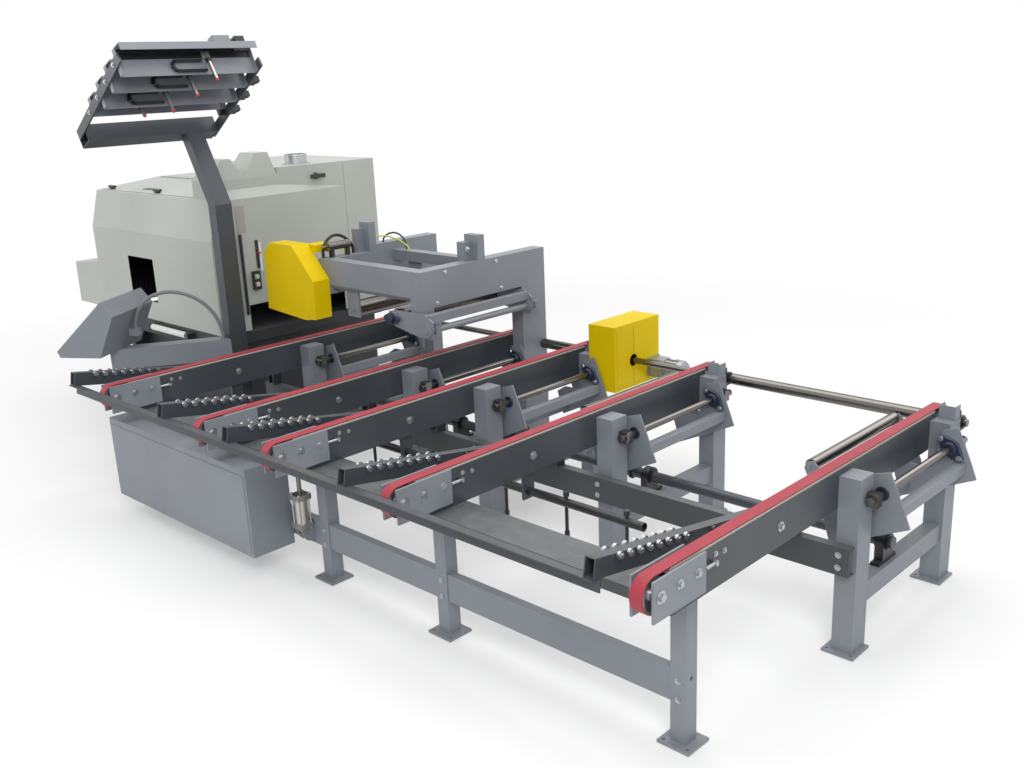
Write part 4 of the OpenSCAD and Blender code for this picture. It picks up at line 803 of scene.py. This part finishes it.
# %% Rear panel and louvres
panel = Fitting("rear_panel")
panel.box(-6240, -4980, REAR - 1, REAR + 2.5, 960, 1760)
panel.finish(cream, "frame", "cream_paint", 0.0012)
bolt_rows("rear_panel_screws", [((-6215, REAR + 2.5, z), (242, 0, 0), 6, 6, (0, 1, 0))
                                for z in (985, 1735)], "frame")
rear = Fitting("rear_latches")
for x in (-6120, -5100):
    rear.box(x - 20, x + 20, REAR + 2, REAR + 12, 1330, 1400)
    rear.box(x - 9, x + 9, REAR + 10, REAR + 24, 1290, 1396)
rear.finish(plate_black, "frame", "black_castings", 0.003)
LOUVRE_W, LOUVRE_H, LOUVRE_STEP = 230, 28, 42
louvres = Fitting("base_louvres")
for x in (-6180, -5780, -5380, -4980):
    for z in range(240, 620, LOUVRE_STEP):
        end, top = x + LOUVRE_W, z + LOUVRE_H
        louvres.keep([(x, 2599, z), (end, 2599, z), (end, 2599, top), (x, 2599, top),
                      (x, 2611, z), (end, 2611, z)],
                     [(0, 1, 2, 3), (0, 4, 5, 1), (4, 3, 2, 5), (0, 3, 4), (1, 5, 2)])
louvres.finish(base_black, "frame", "base_paint", 0.0012)

# %% [markdown]
# The laser troughs carry cable chains, which keep the lasers' leads from tangling. A
# chain is links of one shape along a path, so Geometry Nodes lay them: the path is cut
# into steps of one link and a small block with a wider bar round it is set at each,
# turned along the path.

# %% Cable chains
def chain_tree():
    """A node group that sets a link at every step of the carrier's own path."""
    tree = bpy.data.node_groups.new("cable chain", "GeometryNodeTree")
    face = tree.interface
    face.new_socket("Geometry", in_out="INPUT", socket_type="NodeSocketGeometry")
    face.new_socket("Geometry", in_out="OUTPUT", socket_type="NodeSocketGeometry")
    for name, kind in (("Link", "Float"), ("Size", "Vector"), ("Nylon", "Material")):
        face.new_socket(name, in_out="INPUT", socket_type="NodeSocket" + kind)
    given = add(tree, "NodeGroupInput").outputs
    curve = add(tree, "GeometryNodeMeshToCurve", {"Mesh": given["Geometry"]})
    steps = add(tree, "GeometryNodeResampleCurve", {"Curve": curve.outputs[0],
                                                    "Length": given["Link"]}, mode="LENGTH")
    along = add(tree, "GeometryNodeInputTangent")
    turn_to = add(tree, "FunctionNodeAlignRotationToVector", {"Vector": along.outputs[0]}, axis="X")
    link = add(tree, "GeometryNodeMeshCube", {"Size": given["Size"]})
    bar = add(tree, "GeometryNodeMeshCube", {"Size": given["Size"]})
    thick = add(tree, "GeometryNodeTransform", {"Geometry": bar.outputs["Mesh"]},
                {"Scale": (0.35, 1.25, 1.25)})
    both = add(tree, "GeometryNodeJoinGeometry")
    tree.links.new(link.outputs["Mesh"], both.inputs[0])
    tree.links.new(thick.outputs[0], both.inputs[0])
    spread = add(tree, "GeometryNodeInstanceOnPoints", {"Points": steps.outputs[0],
                                                       "Instance": both.outputs[0],
                                                       "Rotation": turn_to.outputs[0]})
    real = add(tree, "GeometryNodeRealizeInstances", {"Geometry": spread.outputs[0]})
    nylon = add(tree, "GeometryNodeSetMaterial", {"Geometry": real.outputs[0],
                                                  "Material": given["Nylon"]})
    add(tree, "NodeGroupOutput", {"Geometry": nylon.outputs[0]})
    return tree


CHAIN = chain_tree()
# The corner of the laser head, the lasers' places along their troughs, the rise of the
# arm that carries the troughs, each trough's own turn on it, and where along the arm
# the first trough stands and how far the next ones follow
HEAD = Vector((-4670, 387, 2295))
LASER_AT = (304, 409, 510, 580)
RISE, TROUGH_TURN = math.radians(34), math.radians(24)
TROUGH_FIRST, TROUGH_STEP = 226, 160


def in_trough(number, p):
    """A place in a trough: out from its web, along it, and up its web."""
    a = RISE - TROUGH_TURN
    x, z = p[0] * math.cos(a) + p[2] * math.sin(a), -p[0] * math.sin(a) + p[2] * math.cos(a)
    x, z = x + TROUGH_FIRST + TROUGH_STEP * number, z - 26
    return HEAD + Vector((x * math.cos(RISE) - z * math.sin(RISE), p[1],
                          x * math.sin(RISE) + z * math.cos(RISE)))


def into(number):
    """A function that sets places into one of the troughs."""
    return lambda p: in_trough(number, p)


# The radius of a chain's bend and the height of its lower run in the trough
BEND, LOW = 32, 22
chains = bmesh.new()
for number, place in list(enumerate(LASER_AT))[1:]:
    turn_y = place - 235 + BEND
    path = [(16, place - 20, LOW), (16, turn_y, LOW)]
    path += [(16, turn_y - BEND * math.sin(math.pi * k / 12),
              LOW + BEND - BEND * math.cos(math.pi * k / 12)) for k in range(1, 12)]
    path += [(16, turn_y, LOW + 2 * BEND), (16, place - 40, LOW + 2 * BEND)]
    carrier = bpy.data.meshes.new("chain path")
    carrier.from_pydata([at(*in_trough(number, p)) for p in path],
                        [(i, i + 1) for i in range(len(path) - 1)], [])
    chains.from_mesh(made_by(CHAIN, {"Link": 0.014, "Size": (0.012, 0.018, 0.014),
                                     "Nylon": chain_black}, carrier))
data = bpy.data.meshes.new("trough_cable_chains")
chains.to_mesh(data)
chains.free()
set_down("trough_cable_chains", data, chain_black, "frame")

# %% [markdown]
# A small motor at the far end of each trough but the top one drives its laser along a
# black guide rail. On the top trough a thin black sheet under the rail is painted shade
# under the trough's top lip. All are boxes in a trough's own directions, which `into` turns.

# %% Motors and guide rails of the laser head
motors = Fitting("trough_motors")
for number in range(4):
    motors.box(-34, -1, 870, 912, 20, 110, into(number))
    if number < 3:
        motors.box(6, 62, 927, 975, 8, 64, into(number))
        motors.box(14, 54, 975, 1000, 16, 56, into(number))
motors.finish(chain_black, "frame", "black_castings", 0.003)
rails = Fitting("trough_rails_and_lip_shade")
for number in range(4):
    rails.box(4, 26, 24, 800, 138, 160, into(number))
# On the top trough a thin black sheet under the rail widens its dark band: painted shade under the
# trough's top lip.
rails.box(4, 7, 24, 905, 104, 150, into(3))
rails.finish(chain_black, "frame", "black_castings", 0.002)

# %% [markdown]
# A line laser is a small aluminium barrel with a red lens at its mouth and a black clamp
# round its middle. Lens and clamp are turned round the barrel's leaning axis, and ride
# on their laser, so that they travel with it.

# %% Lenses and clamps
# The lean of the barrels, and how far down its barrel each lens sits
LENS_LEAN = math.radians(172)
LENS_REACH = (100, 180, 180, 180)
lean = Vector((math.sin(LENS_LEAN), 0, math.cos(LENS_LEAN)))
for number, (place, reach) in enumerate(zip(LASER_AT, LENS_REACH)):
    top = Vector((38, place, 121))
    start, stop = in_trough(number, top), in_trough(number, top + lean * 100)
    tip = Fitting(f"laser_{number + 1}_lens")
    tip.turned(start, stop - start, [(reach + 1, 11.8), (reach + 5, 11.8), (reach + 12.5, 9)], 20)
    tip.finish(lens_red, f"laser_{number + 1}", "button_red", 0)
    ring = Fitting(f"laser_{number + 1}_clamp")
    ring.turned(start, stop - start, [(38, 17), (40, 19), (56, 19), (58, 17)], 24)
    ring.finish(chain_black, f"laser_{number + 1}", "black_castings", 0)

# %% [markdown]
# A junction box with a plug stands on the top trough and is the highest point of the
# machine. Hexagon bolts hold the troughs to the near arm.

# %% Junction box and bolts of the laser head
junction = Fitting("junction_box")
junction.box(10, 75, 640, 760, 166, 222, into(3))
junction.finish(trough_grey, "frame", "light_grey_troughs", 0.004)
plug = Fitting("junction_plug")
plug.box(12, 66, 800, 870, 166, 222, into(3))
plug.box(24, 54, 762, 800, 176, 206, into(3))
plug.finish(chain_black, "frame", "black_castings", 0.005)
bolt_rows("near_arm_bolts", [((x, 375, z), (0, 0, 0), 1, 9, (0, -1, 0)) for x, z in (
    (-4117, 2739), (-4247, 2647), (-4377, 2560), (-4507, 2473))], "frame")

# %% [markdown]
# On the hold-down frame a pneumatic cylinder pulls the guarded roll. Its barrel and end
# blocks are turned round one axis, and two clamps stand it on the beam.

# %% Air cylinder
air = Fitting("guard_air_cylinder")
air.turned((-3722, 1436, 1553), (0, 1, 0), [(0, 9), (40, 9), (41, 31), (66, 31), (67, 27),
                                            (190, 27), (191, 31), (214, 31)], 28)
for y in (1500, 1628):
    air.box(-3740, -3704, y, y + 20, 1480, 1535)
air.finish(reflection_tinted_steel, "frame", "bright_steel", 0.001)

# %% [markdown]
# Three air hoses arch over the beams between fittings. Each is a smooth tube of one
# length along its own points, and its stiffness holds the arch up.

# %% Air hoses
lay_tube("air_hose_black", [
    (-3764, 1470, 1481), (-3764, 1470, 1510), (-3762, 1476, 1545), (-3760, 1496, 1580),
    (-3758, 1532, 1607), (-3756, 1574, 1617), (-3754, 1617, 1608), (-3752, 1656, 1585),
    (-3750, 1688, 1552), (-3748, 1704, 1516), (-3748, 1706, 1481)],
    0.010, 0, chain_black)
lay_tube("air_hose_yellow", [
    (-3700, 1845, 1566), (-3700, 1896, 1569), (-3698, 1950, 1565), (-3688, 1990, 1552),
    (-3665, 2020, 1536), (-3630, 2032, 1520), (-3590, 2032, 1506), (-3558, 2030, 1490),
    (-3545, 2028, 1470)], 0.005, 0, hose_yellow)
lay_tube("air_hose_rear", [
    (-3705, 1935, 1524), (-3705, 1944, 1550), (-3702, 1975, 1572), (-3694, 2020, 1578),
    (-3674, 2052, 1566), (-3642, 2064, 1540), (-3610, 2058, 1510), (-3592, 2046, 1488),
    (-3588, 2042, 1470)], 0.006, 0, chain_black)

# %% [markdown]
# Four tie rods clamp the ends of the lift cylinder together, with a nut at each end, so
# they are one profile turned four times. Hexagon bolts hold the side beam of the
# hold-down frame.

# %% Tie rods and side beam bolts
rods = Fitting("lift_cylinder_tie_rods")
for dx in (-32, 32):
    for dy in (-32, 32):
        rods.turned((-2545 + dx, 296 + dy, 284), (0, 0, 1),
                    [(0, 7), (7, 7), (8, 4.5), (200, 4.5), (201, 7), (208, 7)], 12)
rods.finish(zinc, "frame", "zinc_steel", 0)
bolt_rows("side_beam_bolts", [
    ((-2760, 1637, 1454), (0, 444, 0), 2, 9, (1, 0, 0)),
    ((-2760, 1560, 1276), (0, 560, 0), 2, 9, (1, 0, 0)),
    ((-2788, 1861, 1560), (0, 0, 0), 1, 12, (0, -1, 0))], "frame")
